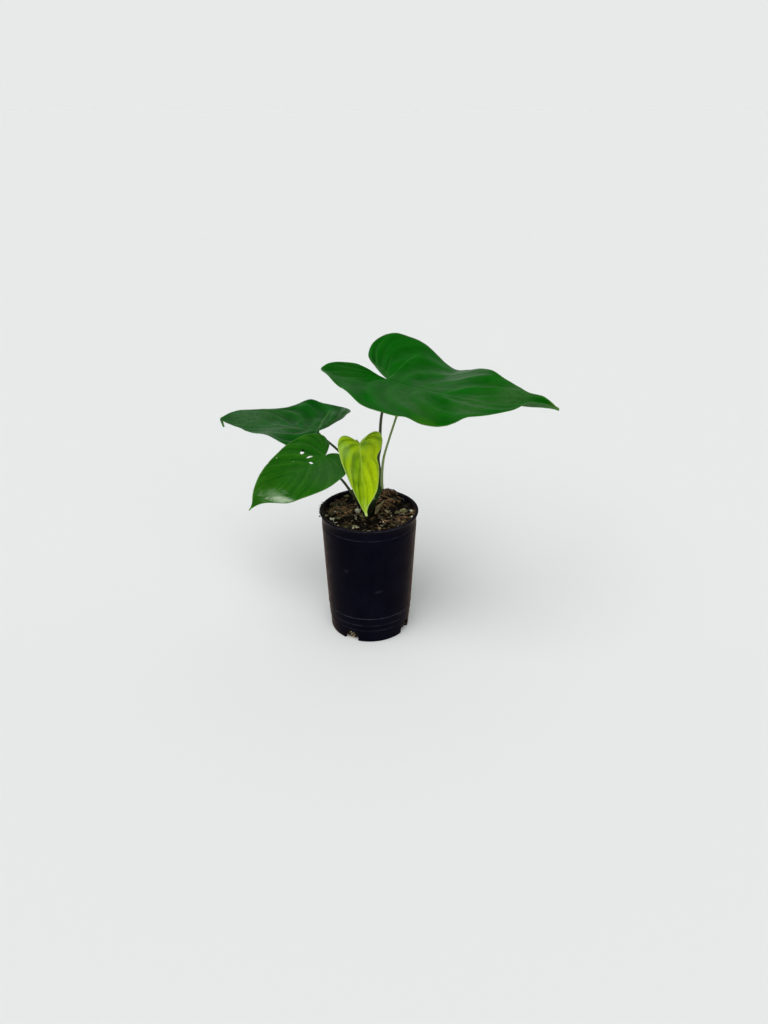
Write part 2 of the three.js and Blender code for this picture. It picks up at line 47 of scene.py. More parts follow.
# A value in a node tree, so that formulas can be written with signs.
class Value:
    def __init__(self, socket):
        self.socket, self.tree = socket, socket.id_data

    def __add__(self, other):
        return maths(self.tree, "ADD", self, other)

    def __sub__(self, other):
        return maths(self.tree, "SUBTRACT", self, other)

    def __rsub__(self, other):
        return maths(self.tree, "SUBTRACT", other, self)

    def __mul__(self, other):
        return maths(self.tree, "MULTIPLY", self, other)

    def __truediv__(self, other):
        return maths(self.tree, "DIVIDE", self, other)

    def __rtruediv__(self, other):
        return maths(self.tree, "DIVIDE", other, self)

    def __abs__(self):
        return maths(self.tree, "ABSOLUTE", self)


# Adds a node: values are linked to its inputs, plain numbers set on them, settings set on it.
def addNode(tree, kind, inputs=None, **settings):
    made = tree.nodes.new(kind)
    for name, value in settings.items():
        setattr(made, name, value)
    for name, value in (inputs or {}).items():
        fillSocket(made.inputs[name], value)
    return made


# Links a value to a socket, or sets a plain number or colour on it.
def fillSocket(socket, value):
    if isinstance(value, Value):
        value.tree.links.new(value.socket, socket)
    else:
        socket.default_value = value


def result(tree, kind, inputs, output=0, **settings):
    return Value(addNode(tree, kind, inputs, **settings).outputs[output])


def maths(tree, operation, first, second=0.0):
    return result(tree, "ShaderNodeMath", {0: first, 1: second}, operation=operation)


def vectors(operation, first, second=(0, 0, 0)):
    output = "Value" if operation in ("LENGTH", "DISTANCE") else 0
    return result(first.tree, "ShaderNodeVectorMath", {0: first, 1: second}, output, operation=operation)


def parts(vector):
    return [Value(one) for one in addNode(vector.tree, "ShaderNodeSeparateXYZ", {0: vector}).outputs]


# A value moved from one range to another, with soft ends unless told otherwise.
def remap(value, low, high, newLow=0.0, newHigh=1.0, soft=True):
    return result(value.tree, "ShaderNodeMapRange", {"Value": value, 1: low, 2: high, 3: newLow, 4: newHigh},
                  interpolation_type="SMOOTHSTEP" if soft else "LINEAR")


# Falls softly from 1 at the low value to 0 at the high one.
def fade(value, low, high):
    return remap(value, low, high, 1.0, 0.0)


def blend(share, first, second):
    made = addNode(share.tree, "ShaderNodeMix", {0: share}, data_type="RGBA")
    for index, colour in ((6, first), (7, second)):
        fillSocket(made.inputs[index], colour if isinstance(colour, Value) else (*colour, 1))
    return Value(made.outputs[2])


# Turns vectors about one axis, by an angle in radians.
def spin(vector, angle, axis):
    return result(vector.tree, "ShaderNodeVectorRotate", {"Vector": vector, "Angle": angle}, rotation_type=axis)


# Makes a node group. Inputs are named with their starting values, none for a place; the work
# is given the inputs as values and gives back the values of the named outputs in order.
def makeGroup(name, inputs, outputs, work):
    group = bpy.data.node_groups.new(name, "ShaderNodeTree")
    for label, start in inputs.items():
        kind = "NodeSocketFloat" if isinstance(start, float) else "NodeSocketVector"
        socket = group.interface.new_socket(name=label, in_out="INPUT", socket_type=kind)
        if start:
            socket.default_value = start
    for label in outputs:
        group.interface.new_socket(name=label, in_out="OUTPUT", socket_type="NodeSocketFloat")
    given = [Value(one) for one in addNode(group, "NodeGroupInput").outputs if one.name in inputs]
    ends = addNode(group, "NodeGroupOutput").inputs
    for label, value in zip(outputs, work(*given)):
        fillSocket(ends[label], value)


# Puts a shared group into the tree of its first input and gives back its outputs.
def useGroup(name, *given):
    made = addNode(given[0].tree, "ShaderNodeGroup", node_tree=bpy.data.node_groups[name])
    for socket, value in zip(made.inputs, given):
        fillSocket(socket, value)
    return [Value(one) for one in made.outputs]


# Veins of a blade, from the attributes that follow it: Flow holds the count of side veins
# passed, the share from the midrib to the margin, and millimetres from one vein to the next;
# Plane holds the flat place and the distance from the margin.
def veinMasks(flow, plane, veinWidth, ribWidth, netSize):
    passed, across, gap = parts(flow)
    x, y, fromEdge = parts(plane)
    outward = abs(across)
    width = veinWidth * remap(outward, 0.0, 1.0, 1.0, .35, soft=False)
    vein = fade(maths(flow.tree, "PINGPONG", passed, .5) * gap / width, 0.0, 1.0)
    vein = vein * remap(outward, 0.0, .05) * remap(outward, .86, 1.0, 1.0, .15)
    rib = fade(abs(y) / ribWidth, .15, 1.0) * remap(x, -1.0, 1.5)
    cells = result(flow.tree, "ShaderNodeTexVoronoi", {"Vector": plane, "Scale": 1.0 / netSize}, "Distance",
                   voronoi_dimensions="2D", feature="DISTANCE_TO_EDGE")
    net = fade(cells, 0.0, .14)
    return vein, rib, fade(fromEdge, .25, 1.1), net, vein * -.06 + rib * -.22 + net * -.05


# Soft patches from 0 to 1 of a given size.
def mottleMask(place, size, contrast, detail):
    cloud = result(place.tree, "ShaderNodeTexNoise",
                   {"Vector": place, "Scale": 1.0 / size, "Detail": detail, "Roughness": .55})
    return [remap(cloud, .5 - contrast, contrast + .5)]


# Small round spots, such as dust and grit: the amount is the share of cells that has one.
def speckMask(place, spacing, size, amount):
    cells = addNode(place.tree, "ShaderNodeTexVoronoi", {"Vector": place, "Scale": 1.0 / spacing}).outputs
    chance = result(place.tree, "ShaderNodeSeparateColor", {0: Value(cells["Color"])})
    spot = fade(Value(cells["Distance"]) / (size * (chance + .4)), .5, 1.0)
    return [spot * maths(place.tree, "LESS_THAN", chance, amount)]


# Fine lines in one direction: noise squeezed across and drawn out along.
def streakMask(place, stretch, contrast):
    lines = result(place.tree, "ShaderNodeTexNoise", {"Vector": vectors("MULTIPLY", place, stretch), "Scale": 1.0,
                                                      "Detail": 4.0, "Roughness": .6})
    return [remap(lines, .5 - contrast, contrast + .5)]


makeGroup("leafVeins", {"Flow": None, "Plane": None, "Vein Width": .7, "Rib Width": 1.3, "Net Size": 2.6},
          ("Vein", "Rib", "Edge", "Net", "Height"), veinMasks)
makeGroup("mottle", {"Place": None, "Size": 10.0, "Contrast": .2, "Detail": 3.0}, ["Mask"], mottleMask)
makeGroup("specks", {"Place": None, "Spacing": 3.0, "Size": .16, "Amount": .2}, ["Mask"], speckMask)
makeGroup("streaks", {"Place": None, "Stretch": (1.0, 1.0, .05), "Contrast": .15}, ["Mask"], streakMask)


def mottle(place, size, contrast, detail=3.0):
    return useGroup("mottle", place, size, contrast, detail)[0]


def specks(place, spacing, size, amount):
    return useGroup("specks", place, spacing, size, amount)[0]


def streaks(place, stretch, contrast):
    return useGroup("streaks", place, stretch, contrast)[0]


# A new material, with constants set on its shader.
class Finish:
    def __init__(self, name, **constants):
        self.material = bpy.data.materials.new(name)
        self.material.use_nodes = True
        self.tree = self.material.node_tree
        self.base = self.tree.nodes["Principled BSDF"].inputs
        for key, value in constants.items():
            self.base[key.replace("_", " ")].default_value = value

    def read(self, attribute, output="Vector"):
        return result(self.tree, "ShaderNodeAttribute", {}, output, attribute_name=attribute)

    # Object coordinates in millimetres.
    def place(self):
        return vectors("MULTIPLY", result(self.tree, "ShaderNodeTexCoord", {}, "Object"), (1 / mm, 1 / mm, 1 / mm))

    # Links what varies over the surface: the bump reaches so many millimetres.
    def done(self, colour, height, reach, roughness=None):
        fillSocket(self.base["Base Color"], colour)
        fillSocket(self.base["Normal"], result(self.tree, "ShaderNodeBump",
                                               {"Height": height, "Distance": reach * mm, "Strength": 1.0}))
        if roughness:
            fillSocket(self.base["Roughness"], roughness)
        return self.material


# Camera, light and floor.


camera = {
    "place": (14.8, -739.5, 506.9),  # mm
    "tiltDown": 27.1,  # degrees below level
    "focalPixels": 835.0,
    "longSidePixels": 1024.0,
}
room = {
    "backdrop": (0.807, 0.823, 0.815),  # what the camera sees behind the floor
    "tint": (1.0, 0.99, 0.98),
    "depth": (-0.5, 0.6),  # from the camera's side to behind the plant
    "behind": 1.0,  # brightness of the room behind the plant
    "infront": 0.15,  # and on the camera's side
    "height": (0.25, 0.95),
    "overhead": 0.12,
    "floorTone": (0.834, 0.860, 0.855),
    "floorSize": 40.0,  # metres
    "softness": 60,  # degrees
    "lights": [("mainLight", 2.1, (28, -14, 0)), ("fillLight", 0.55, (50, 20, 0))],  # strength and turn
}


# The photo's camera, looking down at the plant from its front.
def makeCamera():
    data = bpy.data.cameras.new("photoCamera")
    data.sensor_width = 36
    data.sensor_fit = "AUTO"
    data.lens = 36 * camera["focalPixels"] / camera["longSidePixels"]
    data.clip_start = 0.01
    data.clip_end = 200
    eye = bpy.data.objects.new("photoCamera", data)
    bpy.context.scene.collection.objects.link(eye)
    eye.location = [v * mm for v in camera["place"]]
    eye.rotation_euler = (math.radians(90 - camera["tiltDown"]), 0, 0)
    bpy.context.scene.camera = eye


# A pale room, brighter behind the plant than on the camera's side, two soft lights and a floor.
def makeRoom():
    scene = bpy.context.scene
    scene.view_settings.view_transform = "Standard"
    scene.world = bpy.data.worlds.new("paleRoom")
    scene.world.use_nodes = True
    tree = scene.world.node_tree
    tree.nodes.clear()
    _, depth, height = parts(result(tree, "ShaderNodeTexCoord", {}, "Generated"))
    level = remap(depth, *room["depth"], room["infront"], room["behind"])
    tone = result(tree, "ShaderNodeMix", {0: remap(height, *room["height"]), 2: level, 3: room["overhead"]})
    lit = result(tree, "ShaderNodeBackground", {"Color": (*room["tint"], 1), "Strength": tone})
    seen = result(tree, "ShaderNodeBackground", {"Color": (*room["backdrop"], 1), "Strength": 1.0})
    rays = result(tree, "ShaderNodeLightPath", {}, "Is Camera Ray")
    addNode(tree, "ShaderNodeOutputWorld",
            {"Surface": result(tree, "ShaderNodeMixShader", {0: rays, 1: lit, 2: seen})})

    for name, strength, turn in room["lights"]:
        data = bpy.data.lights.new(name, "SUN")
        data.energy = strength
        data.angle = math.radians(room["softness"])
        lamp = bpy.data.objects.new(name, data)
        lamp.rotation_euler = [math.radians(v) for v in turn]
        lamp.visible_glossy = False  # a soft wash that leaves no bright patch on the leaves
        scene.collection.objects.link(lamp)

    half = room["floorSize"] / 2
    mesh = bpy.data.meshes.new("paleFloor")
    corners = [(-half, -half, 0), (half, -half, 0), (half, half, 0), (-half, half, 0)]
    mesh.from_pydata(corners, [], [(0, 1, 2, 3)])
    floor = bpy.data.objects.new("paleFloor", mesh)
    scene.collection.objects.link(floor)
    mesh.materials.append(Finish("floorFinish", Base_Color=(*room["floorTone"], 1), Roughness=.8,
                                 Specular_IOR_Level=.1).material)


# Numbers and shapes.


# From 0 at low to 1 at high with flat ends: three squares less two cubes.
def smoothStep(value, low, high):
    t = np.clip((value - low) / (high - low), 0, 1)
    return t * t * (3 - 2 * t)


# Cubic from start to end with the given slopes, at the share w.
def cubic(start, end, slopeIn, slopeOut, w):
    return ((2 * start - 2 * end + slopeIn + slopeOut) * w ** 3
            + (-3 * start + 3 * end - 2 * slopeIn - slopeOut) * w ** 2 + slopeIn * w + start)


# Smooth line through evenly spaced knots, at t from 0 to 1: a cubic between each two knots,
# whose slope at a knot is half the step from the knot before it to the one after.
def smoothThrough(knots, t):
    knots = np.asarray(knots, float)
    last = len(knots) - 1
    place = t * last
    i = np.clip(np.floor(place).astype(int), 0, last - 1)
    w = place - i
    before, start = knots[np.maximum(i - 1, 0)], knots[i]
    end, after = knots[i + 1], knots[np.minimum(i + 2, last)]
    if knots.ndim > 1:
        w = w[..., None]
    return cubic(start, end, (end - before) / 2, (after - start) / 2, w)


# Turning matrices: roll about x, then pitch about y, then yaw about z, each in degrees and
# each one number or an array of them.
def turning(yaw, pitch, roll):
    a, b, c = np.radians(np.array([yaw, pitch, roll], float))
    none, one = 0 * a, 0 * a + 1

    def matrix(*entries):
        return np.stack(entries, -1).reshape(*a.shape, 3, 3)

    return (matrix(np.cos(a), -np.sin(a), none, np.sin(a), np.cos(a), none, none, none, one)
            @ matrix(np.cos(b), none, np.sin(b), none, one, none, -np.sin(b), none, np.cos(b))
            @ matrix(one, none, none, none, np.cos(c), -np.sin(c), none, np.sin(c), np.cos(c)))


# Soft noise from about -1 to 1: random values on a square lattice, blended with smooth steps,
# and the same again at half the size and half the strength for each further layer.
def softNoise(x, y, seed, layers=3):
    total, strength = 0.0, 0.6
    for layer in range(layers):
        lattice = np.random.default_rng(seed + layer).uniform(-1, 1, (64, 64))
        fx, fy = np.floor(x), np.floor(y)
        wx, wy = smoothStep(x - fx, 0, 1), smoothStep(y - fy, 0, 1)
        i, j = fx.astype(int) % 64, fy.astype(int) % 64
        i2, j2 = (i + 1) % 64, (j + 1) % 64
        total = total + strength * ((lattice[i, j] * (1 - wx) + lattice[i2, j] * wx) * (1 - wy)
                                    + (lattice[i, j2] * (1 - wx) + lattice[i2, j2] * wx) * wy)
        x, y, strength = x * 2.03 + 17.1, y * 2.03 + 5.7, strength / 2
    return total


# Even points and headings on the smooth line through knots. Each span is a cubic whose end
# slopes weigh the neighbouring steps by the square root of their lengths, so it never loops.
def evenRoute(knots, count):
    knots = np.asarray(knots, float)
    p = np.concatenate([[2 * knots[0] - knots[1]], knots, [2 * knots[-1] - knots[-2]]])
    step = np.diff(p, axis=0)
    gap = np.linalg.norm(step, axis=1)[:, None] ** 0.5
    wide = (p[2:] - p[:-2]) / (gap[:-1] + gap[1:])
    rate = step / gap
    slopeIn = (rate[:-2] - wide[:-1] + rate[1:-1]) * gap[1:-1]
    slopeOut = (rate[1:-1] - wide[1:] + rate[2:]) * gap[1:-1]
    w = (np.arange(48) / 48)[None, :, None]
    spans = cubic(p[1:-2][:, None], p[2:-1][:, None], slopeIn[:, None], slopeOut[:, None], w)
    dense = np.concatenate([spans.reshape(-1, 3), knots[-1:]])
    length = np.concatenate([[0], np.cumsum(np.linalg.norm(np.diff(dense, axis=0), axis=1))])
    even = np.linspace(0, length[-1], count)
    points = np.stack([np.interp(even, length, dense[:, k]) for k in range(3)], -1)
    heading = np.gradient(points, axis=0)
    return points, heading / np.linalg.norm(heading, axis=1, keepdims=True), length[-1]


# Four-cornered faces of a grid of points, joined round where the columns close on themselves.
def gridFaces(rows, columns, joined=False):
    place = np.arange(rows * columns).reshape(rows, columns)
    if joined:
        place = np.concatenate([place, place[:, :1]], 1)
    return np.stack([place[:-1, :-1], place[:-1, 1:], place[1:, 1:], place[1:, :-1]], -1).reshape(-1, 4)


# The faces of one shape, repeated for many copies of its points.
def copiedFaces(one, count, each):
    return (one[None] + (np.arange(count) * each)[:, None, None]).reshape(-1, 4)


# Puts whole arrays of points, faces and attributes into a new object, welds points that
# coincide and turns the faces outwards where the shape is closed.
def addPiece(name, points, faces, finish, attributes=None, closed=True, sharpAngle=40, smooth=True):
    mesh = bpy.data.meshes.new(name)
    points = (np.asarray(points, float).reshape(-1, 3) * mm).astype(np.float32)
    faces = np.asarray(faces, np.int32)
    mesh.vertices.add(len(points))
    mesh.vertices.foreach_set("co", points.ravel())
    mesh.loops.add(faces.size)
    mesh.loops.foreach_set("vertex_index", faces.ravel())
    mesh.polygons.add(len(faces))
    mesh.polygons.foreach_set("loop_start", np.arange(0, faces.size, faces.shape[1], dtype=np.int32))
    mesh.update(calc_edges=True)
    mesh.validate()
    for key, values in (attributes or {}).items():
        values = np.asarray(values, np.float32)
        kind, field = ("FLOAT_VECTOR", "vector") if values.shape[-1] == 3 else ("FLOAT", "value")
        mesh.attributes.new(key, kind, "POINT").data.foreach_set(field, values.ravel())
    work = bmesh.new()
    work.from_mesh(mesh)
    bmesh.ops.remove_doubles(work, verts=work.verts, dist=1e-6)
    loose = [v for v in work.verts if not v.link_faces]
    bmesh.ops.delete(work, geom=loose, context="VERTS")
    if closed:
        bmesh.ops.recalc_face_normals(work, faces=work.faces)
    work.to_mesh(mesh)
    work.free()
    mesh.polygons.foreach_set("use_smooth", np.full(len(mesh.polygons), smooth))
    if smooth:
        mesh.set_sharp_from_angle(angle=math.radians(sharpAngle))
    piece = bpy.data.objects.new(name, mesh)
    bpy.context.scene.collection.objects.link(piece)
    for one in (finish if isinstance(finish, (list, tuple)) else [finish]):
        mesh.materials.append(one)
    return piece


# Keeps what the modifiers make of a piece as its mesh.
def keepModifiers(piece):
    bpy.context.view_layer.update()
    graph = bpy.context.evaluated_depsgraph_get()
    final = bpy.data.meshes.new_from_object(piece.evaluated_get(graph))
    piece.modifiers.clear()
    old = piece.data
    piece.data = final
    bpy.data.meshes.remove(old)
    final.name = piece.name


# A shell of the given thickness round a surface, to both sides.
def thicken(piece, thickness, **settings):
    shell = piece.modifiers.new("shell", "SOLIDIFY")
    shell.thickness = thickness * mm
    shell.offset = 0
    for name, value in settings.items():
        setattr(shell, name, value)
    keepModifiers(piece)


# Attaches a piece to the plant's body and hides the frame nodes that it replaces.
def settle(piece, slot, *nodes):
    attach(piece, "root")
    if nodes:
        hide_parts(*nodes)
    print("scene:", piece.name, len(piece.data.polygons), "faces")
    return piece


# Rod along a route: rings of points round the line, the radius a function of the share of
# the length and the angle, closed at both ends by a low dome. The dome's rings are given by
# their share of the radius and how far they lie beyond the end.
def addRod(name, route, radiusAt, rows, sides, finish):
    points, heading, length = evenRoute(route, rows)
    across = np.cross(heading, (0.0, 1.0, 0.0))
    across /= np.linalg.norm(across, axis=1, keepdims=True)
    other = np.cross(across, heading)
    angle = np.linspace(0, 2 * np.pi, sides, endpoint=False)
    u = np.linspace(0, 1, rows)
    radius = radiusAt(*np.meshgrid(u, angle, indexing="ij"))
    dome = np.array([(0.0, 0.34), (0.55, 0.24), (0.85, 0.08)])
    pick = [0] * 3 + list(range(rows)) + [rows - 1] * 3
    scale = np.concatenate([dome[:, 0], np.ones(rows), dome[::-1, 0]])
    push = np.concatenate([-dome[:, 1], np.zeros(rows), dome[::-1, 1]])
    middle = points[pick] + heading[pick] * (push * radius[pick].mean(1))[:, None]
    ring = (np.cos(angle)[None, :, None] * across[pick][:, None]
            + np.sin(angle)[None, :, None] * other[pick][:, None])
    grid = middle[:, None] + ring * (radius[pick] * scale[:, None])[..., None]
    along = (u[pick] * length)[:, None] + 0 * angle[None]
    flow = np.stack([np.cos(angle)[None] + 0 * along, np.sin(angle)[None] + 0 * along, along], -1)
    return addPiece(name, grid, gridFaces(len(grid), sides, joined=True), finish, {"rodFlow": flow.reshape(-1, 3)})


# The leaf blades.


halfOutline = [(0, 0), (-.05, .05), (-.16, .17), (-.26, .38), (-.285, .62), (-.19, .86), (0, 1), (.22, .95),
               (.44, .72), (.64, .44), (.80, .21), (.915, .065), (1, 0)]  # sinus to tip, in lengths and half widths
fanShare = 0.4  # up to here the veins spring from the sinus, further on from the midrib

# waves are small bumps of the margin: side (1 left, -1 right), place along it, width, rise, swell
largeBlade = {
    "sinus": (18.5, 6, 263), "length": 164.5, "left": 71.5, "right": 58.5, "lobeLeft": .89, "lobeRight": 1.1,
    "yaw": -29.5, "pitch": 7, "roll": 4, "arch": -18, "droop": 9.5, "hook": 0, "sweep": .02,
    "liftLeft": [0, 2, 3, 12, 19, 12, -4, 8, 8.5, 6, 7.5], "bay": [(-.04, .18), (-.164, .279)],
    "liftRight": [3.2, 11, 10.5, 8, 11, 1, -3.5, -12, -4, .5, 5],
    "waves": [(1, .7, .025, 2, 0), (-1, .48, .025, 4, 0), (-1, .61, .02, 2.5, 0), (-1, .72, .02, 3, 0),
              (-1, .87, .033, 3, 0)],
    "rows": 300, "columns": 46, "veins": 11, "veinSweep": .17,
    "quilt": (1.9, 1.0), "crease": .05, "ribDip": .4, "ripple": .9, "seed": 3,
}
upperBlade = {
    "sinus": (-50.3, 42, 198.7), "length": 119, "left": 40, "right": 51.5, "lobeLeft": .18, "lobeRight": .55,
    "yaw": 155, "pitch": 1, "roll": -1, "arch": -2.5, "droop": 6, "hook": 115, "sweep": .09,
    "liftLeft": [-2.5, -6, -9.5, -6, 3, -2, -3], "liftRight": [6.5, 11.5, 9.5, 7, 9, 6, 6.5],
    "waves": [(1, .7, .06, -2.5, 0), (-1, .32, .036, 2, 0), (-1, .61, .028, 4.5, 0), (-1, .69, .055, -3, 0),
              (-1, .88, .04, -1.5, 0)],
    "rows": 300, "columns": 40, "veins": 11, "veinSweep": .17,
    "quilt": (2.0, 2.3), "crease": .06, "ribDip": .4, "ripple": .9, "seed": 9,
}
lowerBlade = {
    "sinus": (-41.3, -14, 194), "length": 88, "left": 35.5, "right": 40, "lobeLeft": .4, "lobeRight": .63,
    "yaw": 212, "pitch": 18, "roll": -6.5, "arch": 1.5, "droop": 31.5, "hook": 0, "sweep": -.02,
    "liftLeft": [3.5, 5.5, 1.5, -2, -7.5, -9, -2], "liftRight": [1.5, 1, 3.5, 5, 7, 10, 5],
    "waves": [(1, .74, .05, -2.5, 0), (-1, .27, .052, -3.5, 0), (-1, .92, .046, -2, 0)],
    "rows": 250, "columns": 52, "veins": 13, "veinSweep": .17,
    "quilt": (.8, 1.0), "crease": .04, "ribDip": .3, "ripple": .7, "seed": 15, "veinCurve": 1.2,
    # side, place along and out, length and width in mm, turn in degrees
    "tears": [(-1, .552, .52, 8.5, 4, 130), (-1, .536, .25, 7, 2.6, 12), (-1, .56, .06, 5.2, 2.4, 72)],
}
youngBlade = {
    "sinus": (-7.7, -28, 213), "length": 68, "left": 24.5, "right": 23.7, "lobeLeft": .52, "lobeRight": .46,
    "yaw": -75.5, "pitch": 72.5, "roll": -25.5, "arch": 4, "droop": -7, "hook": 0, "sweep": .02,
    "liftLeft": [4.5, 6.5, 7.5, 3.5, 2, 7.5, 3.5], "liftRight": [-4, -5, -5, -1.5, 2, -.5, -2],
    "waves": [(1, .2, .05, 0, -1), (1, .58, .04, 0, -5.4), (1, .87, .07, 0, -1.4)],
    "rows": 240, "columns": 40, "veins": 7, "veinSweep": .22,
    "quilt": (2.4, 2.2), "crease": .10, "ribDip": .5, "ripple": .5, "seed": 21,
}
hookStart, hookReach = .915, .03  # shares of the blade's length
bladeWall = {"rib": 1.15, "lamina": .6, "margin": .35}  # thickness in mm


# Waves of the margin: bells round their places along the margin, for the rise and for the
# swell of the outline.
def marginWaves(leaf, along, out):
    rise, swell = 0 * along, 0 * along
    for side, at, reach, up, wider in leaf["waves"]:
        near = np.exp(-((along - at) / reach) ** 2) * (side * out > 0)
        rise, swell = rise + up * near, swell + wider * near
    return rise, swell


# Flat place of a point of the blade: on a line from the midrib to the outline, where the
# lines fan out from the sinus at first and then spring from places further along the midrib.
def flatPlace(leaf, along, out):
    edge = smoothThrough(halfOutline, along)
    onLeft = out >= 0
    if "bay" in leaf:  # its left margin starts out wider round the sinus
        wider = smoothThrough([halfOutline[0], *leaf["bay"], *halfOutline[3:]], along)
        edge = np.where(onLeft[..., None], wider, edge)
    lobe = np.where(onLeft, leaf["lobeLeft"], leaf["lobeRight"])
    width = edge[..., 1] * np.where(onLeft, leaf["left"], leaf["right"]) + marginWaves(leaf, along, out)[1]
    edgeX = np.where(edge[..., 0] < 0, edge[..., 0] * lobe, edge[..., 0]) * leaf["length"]
    start = leaf["length"] * np.clip((along - fanShare) / (1 - fanShare), 0, 1) ** 1.4
    return start + (edgeX - start) * abs(out), width * out, edgeX - start, width


# Lift of the margin, spread inwards with a mix of straight and square fall-off, and its
# waves, which stay near the margin. A hooked tip is left flat.
def marginLift(leaf, along, out):
    left = smoothThrough([0, *leaf["liftLeft"], 0], along)
    right = smoothThrough([0, *leaf["liftRight"], 0], along)
    lift = np.where(out >= 0, left, right) * (.4 * abs(out) + .6 * out * out)
    lift = lift + marginWaves(leaf, along, out)[0] * abs(out) ** 2.5
    return lift * (1 - smoothStep(along, .88, .95)) if leaf["hook"] else lift


# Stands a flat point on the bent midrib: the slope of the midrib grows evenly, then with the
# fourth power, and last comes the hook; the lift stands square to it.
def standOnMidrib(leaf, x, y, lift):
    share = np.linspace(-.6, 1, 1601)
    slope = np.radians(leaf["arch"] * share + leaf["droop"] * np.clip(share, 0, None) ** 4
                       + leaf["hook"] * np.clip((share - hookStart) / hookReach, 0, 1))
    step = share[1] - share[0]
    ahead = np.concatenate([[0], np.cumsum((np.cos(slope[1:]) + np.cos(slope[:-1])) / 2 * step)])
    down = np.concatenate([[0], np.cumsum((np.sin(slope[1:]) + np.sin(slope[:-1])) / 2 * step)])
    ahead -= np.interp(0, share, ahead)
    down -= np.interp(0, share, down)
    s = x / leaf["length"]
    here = np.interp(s, share, slope)
    local = np.stack([np.interp(s, share, ahead) * leaf["length"] + np.sin(here) * lift,
                      y + leaf["sweep"] * leaf["length"] * np.clip(s, 0, None) ** 2,
                      -np.interp(s, share, down) * leaf["length"] + np.cos(here) * lift], -1)
    return local @ turning(leaf["yaw"], leaf["pitch"], leaf["roll"]).T + np.array(leaf["sinus"], float)


# Point of a blade without its quilting, by place along the outline and share out to it.
def bladePoint(leaf, along, out):
    along, out = np.asarray(along, float), np.asarray(out, float)
    x, y, _, _ = flatPlace(leaf, along, out)
    return standOnMidrib(leaf, x, y, marginLift(leaf, along, out))


# Opens the tears of a blade: points of the grid that lie inside a torn outline, an ellipse
# with a ragged rim, are moved out onto it. Says which points those are.
def openTears(leaf, along, out):
    inside = np.zeros(along.shape, bool)
    for side, atAlong, atOut, length, width, turn in leaf.get("tears", []):
        spot = bladePoint(leaf, atAlong, side * atOut)
        perAlong = np.linalg.norm(bladePoint(leaf, atAlong + .01, side * atOut) - spot) / .01
        perOut = np.linalg.norm(bladePoint(leaf, atAlong, side * (atOut + .01)) - spot) / .01
        a, b = (along - atAlong) * perAlong, (out * side - atOut) * perOut
        c, s = math.cos(math.radians(turn)), math.sin(math.radians(turn))
        p, q = (a * c + b * s) / (length / 2), (b * c - a * s) / (width / 2)
        angle = np.arctan2(q, p)
        rim = 1 + .10 * np.sin(3 * angle + 1) + .09 * np.sin(5 * angle + turn) + .06 * np.sin(9 * angle)
        reach = np.hypot(p, q) / rim
        hit = reach < 1
        inside |= hit
        grow = np.where(hit, 1 / np.maximum(reach, .05), 1)
        p, q = p * grow * length / 2, q * grow * width / 2
        along = np.where(hit, atAlong + (p * c - q * s) / perAlong, along)
        out = np.where(hit, side * (atOut + (p * s + q * c) / perOut), out)
    return along, out, inside


# Blade as a grid, along the outline by rows and across by columns: the plain surface plus the
# quilting between veins, a dip along the midrib and slow ripples. Faces in tears are left out.
def bladeGrid(leaf):
    rows, columns, seed = leaf["rows"], leaf["columns"], leaf["seed"]
    line = 1 - (1 - np.linspace(0, 1, rows + 1)) ** 1.3
    step = np.linspace(-1, 1, 2 * columns + 1)
    along, out = np.meshgrid(line, np.sign(step) * abs(step) ** 1.5, indexing="ij")
    along, out, inside = openTears(leaf, along, out)
    x, y, reachX, reachY = flatPlace(leaf, along, out)
    perAlong = np.hypot(np.gradient(x, line, axis=0), np.gradient(y, line, axis=0))
    spread = abs(out)
    onRight = out < 0
    phase = leaf["veins"] * (along - leaf["veinSweep"] * spread ** leaf.get("veinCurve", 1.7))
    phase = phase + .22 * softNoise(along * 7 + 9 * onRight, spread * 2, seed, 2)
    gap = np.clip(perAlong / leaf["veins"], .4, None)
    uneven = .75 + .6 * softNoise(along * 9 + 30 * onRight, spread * 1.5 + 3, seed + 1, 2)
    shift = 2.5 * softNoise(along * 8, spread * 3, seed + 2, 2)
    fold = .5 - .5 * np.cos(2 * np.pi * phase) + .10 * np.cos(4 * np.pi * phase + shift)
    crease = leaf["crease"] * np.exp(-(np.abs(phase - np.round(phase)) * gap / 1.5) ** 2)
    show = smoothStep(spread, .02, .25) * (1 - smoothStep(spread, .78, 1))
    height = np.where(onRight, leaf["quilt"][1], leaf["quilt"][0]) * uneven * np.clip(gap / 9, 0, 1.2)
    quilt = (height * (fold - .5) - crease) * show
    rib = leaf["ribDip"] * np.exp(-(y / 1.8) ** 2) * smoothStep(x, 0, 8)
    rib = rib * (1 - smoothStep(x / leaf["length"], .85, 1))
    ripple = leaf["ripple"] * softNoise(x / 17 + 40, y / 17 + 40, seed + 5, 3)
    ripple = (ripple + .05 * softNoise(x / 3.1 + 9, y / 3.1 + 9, seed + 6, 2)) * smoothStep(np.hypot(x, y), 2, 16)
    points = standOnMidrib(leaf, x, y, marginLift(leaf, along, out) + quilt - rib + ripple)
    fromEdge = (1 - spread) * np.hypot(reachX, reachY)
    faces = gridFaces(rows + 1, 2 * columns + 1)
    faces = faces[~inside.ravel()[faces].all(1)]
    return points, faces, np.stack([phase, out, gap], -1), np.stack([x, y, fromEdge], -1)


